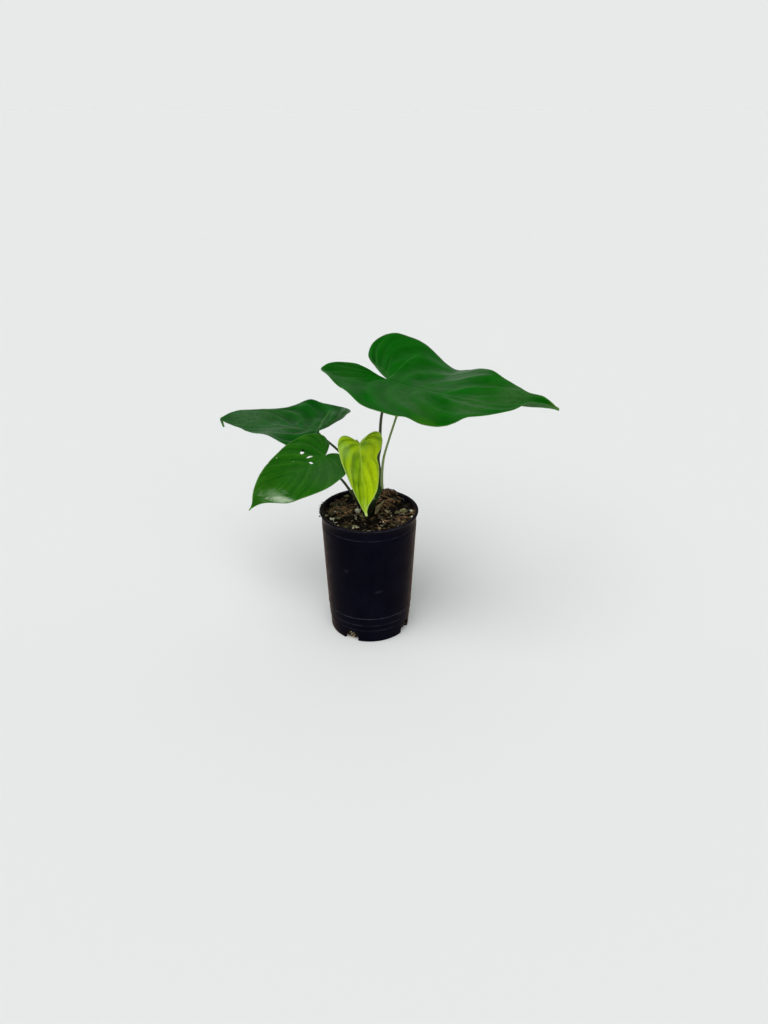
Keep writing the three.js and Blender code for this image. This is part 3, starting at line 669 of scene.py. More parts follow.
# Blade with its thickness: most along the midrib, less over the lamina, least at the margin.
def makeBlade(name, leaf, finishes):
    points, faces, flow, plane = bladeGrid(leaf)
    follow = {"leafFlow": flow.reshape(-1, 3), "leafPlane": plane.reshape(-1, 3)}
    blade = addPiece(name, points, faces, finishes, follow, closed=False)
    mesh = blade.data
    count = len(mesh.vertices)
    normals = np.zeros(count * 3, np.float32)
    mesh.vertices.foreach_get("normal", normals)
    upward = turning(leaf["yaw"], leaf["pitch"], leaf["roll"])[:, 2]
    if (normals.reshape(-1, 3) @ upward).mean() < 0:
        mesh.flip_normals()
    place = np.zeros(count * 3, np.float32)
    mesh.attributes["leafPlane"].data.foreach_get("vector", place)
    x, y, fromEdge = place.reshape(-1, 3).T
    rib = np.exp(-(y / 1.6) ** 2) * smoothStep(x, -2, 3) * (1 - smoothStep(x / leaf["length"], .5, 1))
    wall = bladeWall["margin"] + (bladeWall["lamina"] - bladeWall["margin"]) * smoothStep(fromEdge, 0, 5)
    wall = wall + (bladeWall["rib"] - wall) * rib
    group = blade.vertex_groups.new(name="wall")
    level = np.round(wall / bladeWall["rib"], 2)
    for share in np.unique(level):
        group.add(np.flatnonzero(level == share).tolist(), float(share), "REPLACE")
    thicken(blade, bladeWall["rib"], vertex_group="wall", material_offset=1, material_offset_rim=2)
    return blade


# The upper side of a blade. Over the mottled green lie strands that follow the veins, painted
# shade along the vein grooves, the veins themselves, then the look's patches, partly its own tone
# and partly painted sheen, shade and light, pale vein strokes, smears and spots.
def leafFinish(name, look):
    made = Finish(name, Specular_IOR_Level=look["gloss"])
    plane, flow = made.read("leafPlane"), made.read("leafFlow")
    flat = vectors("MULTIPLY", plane, (1, 1, 0))
    vein, rib, edge, net, height = useGroup("leafVeins", flow, plane, look["veinWidth"], look["ribWidth"],
                                            look["netSize"])
    patches = mottle(plane, look["patchSize"], .2)
    fine = mottle(plane, 3.0, .25)
    dust = specks(plane, 4.5, .1, look["dust"])
    passed, across, _ = parts(flow)
    alongVeins = result(made.tree, "ShaderNodeCombineXYZ", {0: passed * 10.0, 1: across * 30.0, 2: 0.0})
    strands = streaks(alongVeins, look["strandSize"], .2)
    # Painted shade: darker green along each vein, where the quilting dips into a groove.
    valleyShade = fade(maths(made.tree, "PINGPONG", passed, .5), 0.0, look["valleyShadeReach"])
    nearSinus = fade(vectors("LENGTH", flat), 2.0, look["sinusReach"])
    tip = remap(parts(plane)[0], look["length"] * .93, look["length"])
    colour = blend(patches, look["deep"], look["light"])
    for share, over in ((fine * .35, "light"), (strands * look["strandShow"], "strand"),
                        (valleyShade * look["valleyShadeShow"], "valleyShade"),
                        (vein * (nearSinus * look["sinusShow"] + look["veinShow"]), "vein"),
                        (rib * look["ribShow"], "rib"), (net * look["netShow"], "vein"), (tip * .85, "tip"),
                        (edge * look["edgeShow"], "edge")):
        colour = blend(share, colour, look[over])
    # Patches: some are a blade's own tone, others are painted sheen and painted shade and light.
    for x, y, reach, share, tone in look["patches"]:
        mask = fade(vectors("DISTANCE", flat, (x, y, 0)), reach * .25, reach)
        colour = blend(mask * (fine * .6 + .4) * share, colour, tone)
    roughness = patches * .08 + look["roughness"]
    for startX, startY, endX, endY, width, share in look["strokes"]:
        length, turn = math.hypot(endX - startX, endY - startY), math.atan2(endY - startY, endX - startX)
        x, y, _ = parts(spin(vectors("ADD", flat, (-startX, -startY, 0)), -turn, "Z_AXIS"))
        bow = maths(made.tree, "SINE", x * (math.pi / length)) * (length * .05)
        line = fade(abs(y - bow), width * .3, width * 1.4) * remap(x, 0.0, 1.5) * fade(x, length * .75, length)
        colour = blend(line * share, colour, look["stroke"])
    for smear in look["smears"]:
        centre = (-smear["at"][0], -smear["at"][1], 0)
        place = spin(vectors("ADD", flat, centre), math.radians(-smear["turn"]), "Z_AXIS")
        scaled = vectors("MULTIPLY", place, (1 / smear["size"][0], 1 / smear["size"][1], 0))
        drawn = {"Vector": vectors("MULTIPLY", place, (.13, .55, 0)), "Scale": 1.0, "Detail": 6.0,
                 "Roughness": .7, "Distortion": .9}
        swirl = result(made.tree, "ShaderNodeTexNoise", drawn)
        cover = remap(swirl * 2.4 + (smear["fill"] - .6) - vectors("LENGTH", scaled), -.05, .8)
        colour = blend(cover * smear["share"], colour, smear["colour"])
        roughness = cover * .2 + roughness
    for x, y, reach in look["spots"]:
        colour = blend(fade(vectors("DISTANCE", flat, (x, y, 0)), reach * .5, reach), colour, look["spot"])
    return made.done(blend(dust * .5, colour, look["dustTone"]), height, look["bump"], roughness)


# The underside: paler and duller, with veins that stand out.
def undersideFinish(name, look):
    made = Finish(name, Specular_IOR_Level=.25)
    plane, flow = made.read("leafPlane"), made.read("leafFlow")
    vein, rib, _, net, height = useGroup("leafVeins", flow, plane, look["veinWidth"] * 1.3,
                                         look["ribWidth"] * 1.2, look["netSize"])
    patches = mottle(plane, 7.0, .25)
    colour = blend(patches, look["underDeep"], look["underLight"])
    for share in (net * .3, vein * .8, rib):
        colour = blend(share, colour, look["underVein"])
    return made.done(colour, height * -1.0, .8, patches * .1 + .5)


# The cut edge of a blade.
def rimFinish(name, look):
    made = Finish(name, Specular_IOR_Level=.25, Roughness=.5)
    patches = mottle(made.place(), 4.0, .25)
    return made.done(blend(patches, look["rim"], [v * 1.5 for v in look["rim"]]), patches, .05)


# Colours, each followed by how strongly it shows, and sizes in mm. Patches are given by flat
# place, reach, share and colour; strokes by start, end, width and share; spots by place and reach.
darkLook = {
    "deep": (.0002, .074, .0003), "light": (.0010, .110, .0008), "patchSize": 16.0, "gloss": .055,
    "strand": (.014, .130, .010), "strandShow": .40, "strandSize": (.34, .05, 1.0),
    # The valley colours are painted shade along the vein grooves.
    "valleyShade": (.0004, .056, .0005), "valleyShadeShow": .40, "valleyShadeReach": .45, "vein": (.020, .18, .012), "veinShow": .03,
    "sinusReach": 50.0, "sinusShow": .28, "rib": (.012, .14, .008), "ribShow": .3, "netShow": .05,
    "edge": (.16, .30, .06), "edgeShow": .35, "tip": (.10, .17, .03), "veinWidth": .8, "ribWidth": 1.5,
    "netSize": 2.8, "roughness": .34, "bump": 1.0, "dust": .05, "dustTone": (.45, .52, .38),
    "length": largeBlade["length"],
    "underDeep": (.016, .095, .012), "underLight": (.030, .135, .020), "underVein": (.07, .19, .04),
    "rim": (.035, .13, .02),
    # The yellow-green patch at the lower margin is the blade's own colour; the grey-green patches are painted sheen,
    # a reflection painted into the colour.
    "patches": [(62, -50, 16, .5, (.06, .20, .004)), (100, 12, 28, .40, (.022, .120, .014)),
                (122, 10, 26, .75, (.046, .128, .034)), (90, -12, 26, .7, (.036, .128, .026)),
                (55, -34, 22, .5, (.024, .120, .012)), (-30, -24, 24, .5, (.022, .110, .014)),
                (30, -24, 32, .55, (.028, .118, .022)), (40, 6, 26, .2, (.020, .112, .014))],
    "strokes": [(0, 2, 5, 62, .45, .30), (-1, 2, -17, 40, .4, .22), (0, 0, 0, 12, .6, .4)],
    "stroke": (.075, .26, .05), "smears": [], "spots": [], "spot": (.62, .68, .52),
}
blueLook = dict(
    darkLook, deep=(.0006, .060, .0012), light=(.0030, .090, .0040), valleyShade=(.0005, .046, .0012), valleyShadeShow=.6,
    edge=(.07, .18, .06), tip=(.06, .16, .03), ribShow=.45, sinusShow=.35, sinusReach=40.0, gloss=.09,
    strandShow=.28, strandSize=(.5, .045, 1.0), length=upperBlade["length"], strokes=[(2, -4, 9, -46, .9, .5)],
    # These grey-green patches are painted sheen, a reflection painted into the colour.
    patches=[(84, -4, 34, .85, (.058, .132, .056)), (46, 18, 30, .8, (.058, .136, .058)),
             (60, -16, 20, .5, (.036, .104, .028))],
)
tornLook = dict(
    darkLook, deep=(.0014, .072, .0005), light=(.010, .112, .0016), valleyShade=(.0010, .058, .0008),
    strand=(.050, .165, .014), strandShow=.50, strandSize=(.80, .045, 1.0), gloss=.04, sinusReach=24.0,
    sinusShow=.30, veinShow=.0, tip=(.14, .36, .02), patchSize=11.0, dust=.06, length=lowerBlade["length"],
    strokes=[],
    # The yellow-green first patch is the blade's own colour; the grey-green ones are painted sheen.
    patches=[(66, 0, 22, .4, (.04, .15, .008)), (8, 20, 26, .75, (.036, .100, .028)),
             (30, 4, 22, .45, (.026, .104, .018)), (2, -22, 18, .5, (.004, .062, .004))],
    smears=[{"at": (61, 6), "turn": -38, "size": (18, 8), "colour": (.16, .27, .13), "share": .75, "fill": .3},
            {"at": (58.8, 11.2), "turn": -34, "size": (13, 3.4), "colour": (.40, .51, .34), "share": .85,
             "fill": .42}],
    spots=[(47, -23.8, .9), (36.1, -26.8, .5), (26, -15, .5)],
)
youngLook = dict(
    # Its valley colour is painted shade along the fan veins.
    darkLook, deep=(.215, .380, .002), light=(.31, .49, .004), patchSize=9.0, valleyShade=(.080, .215, .001),
    valleyShadeShow=.62, valleyShadeReach=.34, strand=(.42, .58, .02), strandShow=.22, strandSize=(.40, .05, 1.0),
    vein=(.24, .40, .03), veinShow=.0, sinusShow=.12, rib=(.42, .60, .06), ribShow=.75, netShow=.06,
    edge=(.46, .62, .20), edgeShow=.6, tip=(.60, .66, .36), roughness=.40, gloss=.10, strokes=[], dust=.03,
    length=youngBlade["length"],
    underDeep=(.22, .38, .03), underLight=(.32, .50, .06), underVein=(.42, .56, .12), rim=(.38, .52, .14),
    # These patches are painted shade and light: darker along the right side of the midrib and at the sinus, paler
    # along its left side and over the right lobe.
    patches=[(14, -5, 10, .75, (.095, .25, .004)), (24, -5, 9, .8, (.085, .24, .001)),
             (35, -4, 9, .8, (.095, .25, .001)), (47, -2.5, 8, .7, (.11, .27, .001)),
             (14, 14, 18, .8, (.44, .60, .001)), (30, 9, 16, .8, (.45, .60, .001)),
             (46, 5, 13, .75, (.42, .58, .001)), (4, -18, 11, .75, (.26, .46, .08)),
             (26, -13, 9, .5, (.28, .46, .04)), (2, 4, 7, .5, (.16, .34, .03))],
)


def makeBlades():
    for name, leaf, look, slot, node in (("largeBlade", largeBlade, darkLook, "dark_leaf", "blade_large"),
                                         ("upperBlade", upperBlade, blueLook, "blue_leaf", "blade_upper"),
                                         ("lowerBlade", lowerBlade, tornLook, "dark_leaf", "blade_lower"),
                                         ("youngBlade", youngBlade, youngLook, "young_leaf", "blade_young")):
        finishes = [leafFinish(name + "Top", look), undersideFinish(name + "Under", look),
                    rimFinish(name + "Rim", look)]
        settle(makeBlade(name, leaf, finishes), slot, node)


# Petioles and the young stalk.


largePetiole = {"route": [(9.6, 3.4, 154.5), (10.6, 4, 170), (9.2, 4.8, 184), (11.4, 5.6, 198), (11.2, 6, 212.5),
                          (13, 6, 231)],
                "foot": 1.75, "neck": 1.35, "joint": .6}
upperPetiole = {"route": [(5.6, 3.4, 148.6), (.8, 6.5, 155), (-13.8, 14.5, 168.7), (-31.8, 26, 185)],
                "foot": 1.6, "neck": 1.2, "joint": .5, "elbow": 1.6}
lowerPetiole = {"route": [(.8, -2, 133.5), (-6.6, -3.2, 138.6), (-16.5, -5, 151.9), (-25.8, -7, 166.8)],
                "foot": 1.6, "neck": 1.2, "joint": .5}
youngPetiole = {"route": [(4.6, -2.6, 144.5), (.6, -6, 163), (-4.4, -12.5, 187), (-7.2, -19, 207)],
                "foot": 1.5, "neck": 1.15, "joint": .6, "hanging": True}
youngStalk = {"route": [(12.7, .6, 154.5), (12.9, 0, 171), (14.6, -.4, 187.5), (20, 0, 207.6), (26.1, 2, 227.1)],
              "foot": 1.5, "neck": 1.05, "joint": 0}
rolledLeaf = {"length": 27, "radius": 1.9, "lap": .35}
seat = {"half": .45, "gap": .3, "upright": 2.4, "hanging": 2.8}  # mm, how a petiole meets its blade


# Where a petiole ends under its blade: just past the sinus, square to the blade.
def petioleEnd(petiole, leaf):
    hanging = petiole.get("hanging")
    past = seat["hanging"] if hanging else seat["upright"]
    along = fanShare + (1 - fanShare) * (past / leaf["length"]) ** (1 / 1.4)
    point = bladePoint(leaf, along, 0.0)
    ahead = bladePoint(leaf, along + .03, 0.0) - point
    ahead /= np.linalg.norm(ahead)
    up = np.cross(ahead, bladePoint(leaf, along, .04) - bladePoint(leaf, along, -.04))
    up /= np.linalg.norm(up)
    below = seat["half"] + seat["gap"] + (1.2 if hanging else .15)
    if hanging:
        return [point - up * (below + 3.2) - ahead * 5.4, point - up * below]
    return [point - up * (below + petiole.get("elbow", 7)), point - up * below]


# Radius of a petiole: it slims from the foot, thickens at the joint below the blade, where
# it is finely wrinkled, and carries a shallow groove on one side.
def petioleRadius(petiole):
    def radiusAt(u, angle):
        slim = petiole["foot"] + (petiole["neck"] - petiole["foot"]) * np.minimum(u * 1.6, 1)
        joint = petiole["joint"] * smoothStep(u, .88, .96)
        wrinkle = .05 * np.sin(u * 700) * smoothStep(u, .9, .95) * (petiole["joint"] > 0)
        groove = -.10 * slim * np.exp(-((np.mod(angle, 2 * np.pi) - np.pi / 2) / .5) ** 2)
        flare = .35 * (1 - smoothStep(u, 0, .08))
        return slim + joint + wrinkle + groove + flare
    return radiusAt


# Stalks: fine lines along them, patches of the joint's colour and pale dots.
def stalkFinish(name, dark, light, joint):
    made = Finish(name, Specular_IOR_Level=.35)
    place = made.place()
    lines = streaks(made.read("rodFlow"), (3.0, 3.0, .05), .22)
    dots = specks(place, 1.6, .12, .35)
    colour = blend(mottle(place, 9.0, .2) * .35, blend(lines, dark, light), joint)
    colour = blend(dots * .5, colour, [v * 1.8 + .01 for v in light])
    return made.done(colour, dots * .3 + lines, .12, lines * .12 + .38)


def makeStalks():
    darkStalk = stalkFinish("petioleGreen", (.022, .042, .006), (.045, .070, .014), (.050, .050, .018))
    paleStalk = stalkFinish("stalkGreen", (.15, .23, .06), (.28, .37, .13), (.22, .27, .10))
    for name, petiole, leaf, finish, slot, node in (
            ("largePetiole", largePetiole, largeBlade, darkStalk, "petiole", "petiole_large"),
            ("upperPetiole", upperPetiole, upperBlade, darkStalk, "petiole", "petiole_upper"),
            ("lowerPetiole", lowerPetiole, lowerBlade, darkStalk, "petiole", "petiole_lower"),
            ("youngPetiole", youngPetiole, youngBlade, paleStalk, "young_stalk", "petiole_young")):
        route = [*petiole["route"], *petioleEnd(petiole, leaf)]
        settle(addRod(name, route, petioleRadius(petiole), 150, 24, finish), slot, node)
    stalk = addRod("youngStalk", youngStalk["route"], petioleRadius(youngStalk), 110, 22, paleStalk)
    settle(stalk, "young_stalk", "stalk_rolled")
    makeRolledLeaf()


# Rolled young leaf: a spindle beyond the stalk's end, its radius growing with the turn so
# that the free margin stands as a step winding up it.
def makeRolledLeaf():
    route = np.array(youngStalk["route"], float)
    heading = route[-1] - route[-2]
    heading /= np.linalg.norm(heading)
    start = route[-1] + heading * seat["gap"]
    middle = start + heading * rolledLeaf["length"] / 2 + [.8, 0, 0]
    end = start + heading * rolledLeaf["length"]

    def radiusAt(u, angle):
        belly = rolledLeaf["radius"] * (.45 + .55 * np.sin(np.pi / 2 * np.minimum(u * 1.5 + .1, 1)))
        taper = np.where(u < .4, 1, 1 - .93 * (np.clip(u - .4, 0, 1) / .6) ** 1.3)
        turn = np.mod(angle - 5 * u, 2 * np.pi) / (2 * np.pi)
        lap = 1 + rolledLeaf["lap"] * turn * smoothStep(1 - turn, 0, .03)
        return belly * taper * lap * (.94 + .06 * smoothStep(u, 0, .1))

    made = Finish("rolledGreen", Specular_IOR_Level=.4, Roughness=.4)
    lines = streaks(made.read("rodFlow"), (2.5, 2.5, .08), .2)
    colour = blend(lines, (.20, .36, .03), (.34, .50, .08))
    green = made.done(blend(mottle(made.place(), 6.0, .2) * .4, colour, (.42, .50, .12)), lines, .15)
    settle(addRod("rolledLeaf", [start, middle, end], radiusAt, 90, 48, green), "young_leaf", "leaf_rolled")


# Stem and dried sheath.


plantStem = {"route": [(0, 1, 96), (0, .5, 116), (.8, 0, 132), (5.4, 1, 145.5), (10.9, 2, 156.5)],
             "radii": [4.0, 4.7, 4.8, 4.2, 3.9], "scars": [.52, .66, .78, .9]}
drySheath = {
    "height": 13.5, "radius": 6.6, "halfAngle": 48, "facing": -24, "thickness": .55, "curl": 3.2, "base": 129.4,
    "centre": (3.2, .4), "lean": 2.6,
}


# Stem: its radius follows a smooth line through the given radii, swells just under each leaf
# scar, dips in it, and is ribbed along. It darkens towards the foot: painted shade under the leaves.
def makeStem():
    def radiusAt(u, angle):
        radius = smoothThrough(plantStem["radii"], u) * (1 + .05 * np.cos(3 * angle + 9 * u))
        radius = radius + .12 * softNoise(angle * 3 / np.pi + 8, u * 60, 4, 3) + .08 * np.sin(11 * angle)
        for scar in plantStem["scars"]:
            tilt = scar + .02 * np.sin(angle + 20 * scar)
            radius = radius + .35 * (np.exp(-((u - tilt + .018) / .012) ** 2) - np.exp(-((u - tilt) / .006) ** 2))
        return radius

    made = Finish("stemGreen", Specular_IOR_Level=.3)
    place = made.place()
    lines = streaks(made.read("rodFlow"), (4.0, 4.0, .12), .2)
    patches = mottle(place, 5.0, .18)
    colour = blend(lines, (.005, .034, .002), (.016, .070, .006))
    colour = blend(patches * .25, colour, (.040, .046, .012))
    colour = blend(specks(place, 1.4, .15, .4) * .3, colour, (.10, .13, .05))
    # Painted shade: the stem darkens towards its foot, under the leaves.
    footShade = remap(parts(place)[2], 146.0, 136.0) * (patches * .3 + .7)
    green = made.done(blend(footShade, colour, (.007, .007, .0035)), patches * .5 + lines, .25, patches * .2 + .42)
    settle(addRod("plantStem", plantStem["route"], radiusAt, 170, 40, green), "stem", "stem")


# Dried sheath: a curved strip beside the foot of the stem that leans out and narrows upwards,
# with a torn upper edge and a papery wave.
def makeSheath():
    rows, columns = 70, 60
    u, v = np.meshgrid(np.linspace(0, 1, rows), np.linspace(-1, 1, columns), indexing="ij")
    torn = u * (.92 - .08 * abs(softNoise(v * 5 + 3, v * 0 + 2, 31, 3)) - .42 * v ** 6)
    angle = np.radians(drySheath["facing"] + drySheath["halfAngle"] * (1 - .30 * torn ** 2) * v)
    r = (drySheath["radius"] + drySheath["curl"] * torn ** 2 + .5 * np.sin(5 * v + 3 * torn)
         + .25 * softNoise(v * 7 + 20, torn * 5 + 9, 33, 3))
    x, y = drySheath["centre"]
    points = np.stack([x + drySheath["lean"] * torn + r * np.cos(angle), y + r * np.sin(angle),
                       drySheath["base"] + drySheath["height"] * torn], -1)
    flow = np.stack([angle * 6, 0 * u, torn * drySheath["height"]], -1)
    made = Finish("sheathBrown", Specular_IOR_Level=.2, Roughness=.7)
    lines = streaks(made.read("rodFlow"), (2.6, 1.0, .12), .18)
    colour = blend(lines, (.22, .18, .08), (.62, .54, .28))
    brown = made.done(blend(mottle(made.place(), 3.5, .2) * .35, colour, (.22, .23, .09)), lines, .35)
    sheath = addPiece("drySheath", points, gridFaces(rows, columns), brown, {"rodFlow": flow.reshape(-1, 3)},
                      closed=False)
    thicken(sheath, drySheath["thickness"])
    settle(sheath, "dry_sheath", "dry_sheath")


# The pot.


pot = {
    "height": 132, "baseRadius": 41, "rimRadius": 49, "lipHeight": 10, "lipProud": 2.1, "wall": 1.4, "floor": 1.6,
    "stepHeights": [14, 20.5, 29], "stepDepth": .35, "beadHeight": .12, "seamAngle": -101, "seamHeight": .10,
    # Pale lines of dust on the rings and under the lip; the one at the rim's top is a painted highlight.
    "dustAndHighlightLines": [(14, .45, .85), (20.6, .45, .85), (29.1, .6, 1.2), (120.6, .5, .5),
                  (131.5, .5, .7)],  # height, half width, strength
    "scuffs": [(9, 62, 7, 8), (-22, 84, 4, 15), (33, 26, 7, -10)],  # x, height, half length in mm, turn in degrees
    "notchAngles": [-117, -27, 63, 153], "notchWidth": 14.5, "notchHeight": 11, "notchCorner": 3,
    "notchReach": (33.8, 48.0), "sides": 288,
}
potTaper = (pot["rimRadius"] - pot["lipProud"] - pot["baseRadius"]) / (pot["height"] - pot["lipHeight"])


# Outer radius of the wall: an even taper, stepped out at each ring on the way up.
def outerRadius(z):
    z = np.asarray(z, float)
    steps = sum((z < height).astype(float) for height in pot["stepHeights"])
    return pot["baseRadius"] + potTaper * z + pot["stepDepth"] * (len(pot["stepHeights"]) / 2 - steps)


# Inner radius: the foot's outer radius less the wall, widened by the same taper without steps.
def innerRadius(z):
    return pot["baseRadius"] - pot["wall"] - pot["stepDepth"] * 1.5 + potTaper * np.asarray(z, float)


# Pot: a profile carried round the axis. The wall widens upwards, steps out at the moulded
# rings, each with a fine bead on its edge, turns out into a thin lip and comes down again
# inside; one moulding seam stands up the side, and the wall is a little out of round.
def makePot():
    top, bead, floor = pot["height"], pot["beadHeight"], pot["floor"]
    foot = pot["baseRadius"] - pot["stepDepth"] * 1.5
    outer = [(0, 0), (12, 0), (24, 0), (34, 0), (foot - 1.2, 0), (foot - .5, .12), (foot - .1, .5), (foot + .02, 1.2)]
    low = 3.0
    for height in pot["stepHeights"]:
        outer += [(float(outerRadius(z)), z) for z in np.linspace(low, height - 1.0, 6)]
        under, over = float(outerRadius(height - .5)), float(outerRadius(height + .5))
        outer += [(under, height - .55), (under + .04, height - .35), (over + bead, height - .05),
                  (over + bead, height + .25), (over, height + .6)]
        low = height + 1.4
    lip = top - pot["lipHeight"]
    outer += [(float(outerRadius(z)), z) for z in np.linspace(low, lip - 3.2, 34)]
    under = pot["rimRadius"] - pot["lipProud"]
    outer += [(under + r, lip + z) for r, z in (
        (-.02, -1.3), (.10, -.9), (.13, -.5), (.01, -.1), (.10, .9), (.32, 3), (.75, 5.5), (1.25, 7.2), (1.75, 8.3),
        (2.05, 9), (2.06, 9.5), (1.8, 9.85), (1.4, 10))]
    mouth = float(innerRadius(top))
    inner = [(mouth + .9, top), (mouth + .6, top - .2), (mouth + .35, top - 1), (mouth + .1, top - 2.5)]
    inner += [(float(innerRadius(z)), z) for z in np.linspace(top - 4, 4, 24)]
    inner += [(float(innerRadius(2.4)) - .3, 2.4), (float(innerRadius(1.8)) - 1.2, 1.75), (34, floor), (20, floor),
              (0, floor)]
    profile = np.array(outer + inner, float)
    angle = np.linspace(0, 2 * np.pi, pot["sides"], endpoint=False)
    r, z = profile[:, :1], profile[:, 1:]
    isOuter = (np.arange(len(profile)) < len(outer))[:, None]
    fromSeam = np.angle(np.exp(1j * (angle[None] - math.radians(pot["seamAngle"])))) * pot["baseRadius"]
    seam = pot["seamHeight"] * np.exp(-(fromSeam / .35) ** 2) * isOuter
    seam = seam * smoothStep(z, 2, 5) * (1 - smoothStep(z, lip - 8, lip - 4))
    bulge = .12 * softNoise(angle[None] * 6 / np.pi + 0 * z, z / 22, 61, 2)
    bulge = bulge * smoothStep(z, 2, 30) * (1 - smoothStep(z, 100, 124))
    bulge = bulge * smoothStep(np.minimum(angle, 2 * np.pi - angle), 0, .3)[None]
    radius = r + np.where(r > 20, seam + bulge, 0)
    points = np.stack([radius * np.cos(angle)[None], radius * np.sin(angle)[None], z + 0 * angle[None]], -1)
    shell = addPiece("potShell", points, gridFaces(len(profile), pot["sides"], joined=True), potFinish(),
                     sharpAngle=50)
    cutter = makeNotches()
    cut = shell.modifiers.new("notches", "BOOLEAN")
    cut.operation = "DIFFERENCE"
    cut.solver = "EXACT"
    cut.object = cutter
    keepModifiers(shell)
    bpy.data.objects.remove(cutter)
    shell.data.set_sharp_from_angle(angle=math.radians(50))
    settle(shell, "black_plastic", "pot")


# Cutters for the drainage notches: a round-cornered arch carried outwards through the wall.
def makeNotches():
    w, h, c = pot["notchWidth"] / 2, pot["notchHeight"], pot["notchCorner"]
    turn = np.linspace(0, np.pi / 2, 6)
    right = np.stack([w - c + c * np.cos(turn), h - c + c * np.sin(turn)], -1)
    arch = np.concatenate([[(w + .4, -3)], right, right[::-1] * [-1, 1], [(-w - .4, -3)]])
    count = len(arch)
    reach = np.array(pot["notchReach"])[:, None]
    grids, faces = [], []
    for a in np.radians(pot["notchAngles"]):
        x = reach * math.cos(a) - arch[None, :, 0] * math.sin(a)
        y = reach * math.sin(a) + arch[None, :, 0] * math.cos(a)
        start = len(grids) * 2 * count
        grids.append(np.stack([x, y, arch[None, :, 1] + 0 * x], -1).reshape(-1, 3))
        near = [start + k for k in range(count)]
        far = [start + count + k for k in range(count)]
        faces += [(near[k], near[(k + 1) % count], far[(k + 1) % count], far[k]) for k in range(count)]
        faces += [tuple(near[::-1]), tuple(far)]
    mesh = bpy.data.meshes.new("notchCutter")
    mesh.from_pydata((np.concatenate(grids) * mm).tolist(), [], faces)
    work = bmesh.new()
    work.from_mesh(mesh)
    bmesh.ops.recalc_face_normals(work, faces=work.faces)
    work.to_mesh(mesh)
    work.free()
    cutter = bpy.data.objects.new("notchCutter", mesh)
    bpy.context.scene.collection.objects.link(cutter)
    return cutter


# Black plastic: near black patches, smudges and a few scuffs on the front; dust lies in a
# faint broken line on each moulded ring and under the lip, a painted highlight runs round the
# rim's top, and grit and pale spots lie over all.
def potFinish():
    made = Finish("potBlack", Specular_IOR_Level=.01, Sheen_Weight=.20, Sheen_Roughness=.28,
                  Sheen_Tint=(1, .60, .38, 1))
    place = made.place()
    _, y, z = parts(place)
    smudge = mottle(place, 8.0, .10, 5.0)
    grit = specks(place, 4.0, .09, .12)
    colour = blend(mottle(place, 28.0, .2), (.0018, .0018, .0056), (.0036, .0036, .0090))
    colour = blend(smudge * .25, colour, (.0050, .0045, .0080))
    for x, height, width, turn in pot["scuffs"]:
        turned = spin(vectors("ADD", place, (-x, 0, -height)), math.radians(turn), "Y_AXIS")
        scuff = fade(vectors("LENGTH", vectors("MULTIPLY", turned, (1 / width, 0, .4))), .1, 1.0)
        scuff = scuff * remap(y, -5.0, -15.0, 0.0, .45)
        colour = blend(scuff * (smudge * .6 + .4), colour, (.026, .026, .032))
    # Pale lines: dust on the moulded rings and under the lip, and a painted highlight round the rim's top.
    rings = 0.0
    for level, width, show in pot["dustAndHighlightLines"]:
        rings = fade(abs(z - level) / width, .2, 1.0) * show + rings
    colour = blend(rings * (smudge * .7 + .35), colour, (.046, .047, .060))
    colour = blend(grit * .30, colour, (.06, .055, .05))
    colour = blend(specks(place, 13.0, .055, .14) * .7, colour, (.16, .16, .16))
    return made.done(colour, smudge * .6 + grit, .05, smudge * .15 + .36)


# The potting mix.


mix = {
    "level": 127, "roughness": 1.5, "moundAt": (18, 24), "moundHeight": 9, "moundRadius": 11, "rings": 110,
    "sides": 300, "seed": 71, "chips": 420, "chipLength": (3.0, 10.0), "fibres": 110, "grains": 22, "crumbs": 600,
    "pileAt": (13.5, 3), "pileRadius": 9, "pileHeight": 12, "pileChips": 90, "notchRoots": 26, "rimBits": 60,
    # The dark places are painted shade: the mix is darkened under the leaves and by the rim.
    "dark": [(-1, -27, 12), (38, 20, 12), (-10, 38, 12), (6, -12, 9)],  # x, y and reach of the darker places
    "peat": (.0012, .0010, .0008),  # its darkest colour
}
# Seen in particular places, in mm: white grains (x, y, size), chips (x, y, length, heading in
# degrees, kind) and clumps of fibres (x, y, reach, number, heading, spread in degrees, lift, kind).
placedGrains = [
    (-11.5, 1.4, 5.6), (-10.2, 2.6, 3.4), (-12.8, -13.5, 2.6), (-10.8, -41.5, 3.2), (-13.4, -41.0, 2.2),
    (42, 0, 3.2), (42.2, -10.5, 3.0), (-37.2, -14.8, 3.0), (-34.8, -16.5, 2.2), (14, -20, 1.8), (22, -8, 1.6),
    (-28, 15, 1.8),
]
placedChips = [
    (-24, 36, 6, 20, 2), (-28, 31, 5, -30, 2), (-31, 24, 7, 10, 1), (35, 2.7, 9, -8, 2), (33.5, 4.5, 7, 20, 2),
    (40.5, 1.5, 6, -25, 3), (26, -11, 6, 40, 1), (11, -13, 5, 10, 3), (14, -16.5, 4, -20, 3), (-37, -3, 7, 60, 2),
    (-33, 8, 8, 15, 1), (21, 17, 8, 30, 1), (24, 27, 9, -10, 1), (16, 29, 7, 50, 1), (29, 19, 7, -30, 1),
    (-30, -14, 6, -20, 2), (6, -33, 6, 15, 1), (-24, -26, 6, -12, 1), (33, -24, 6, 35, 1),
]
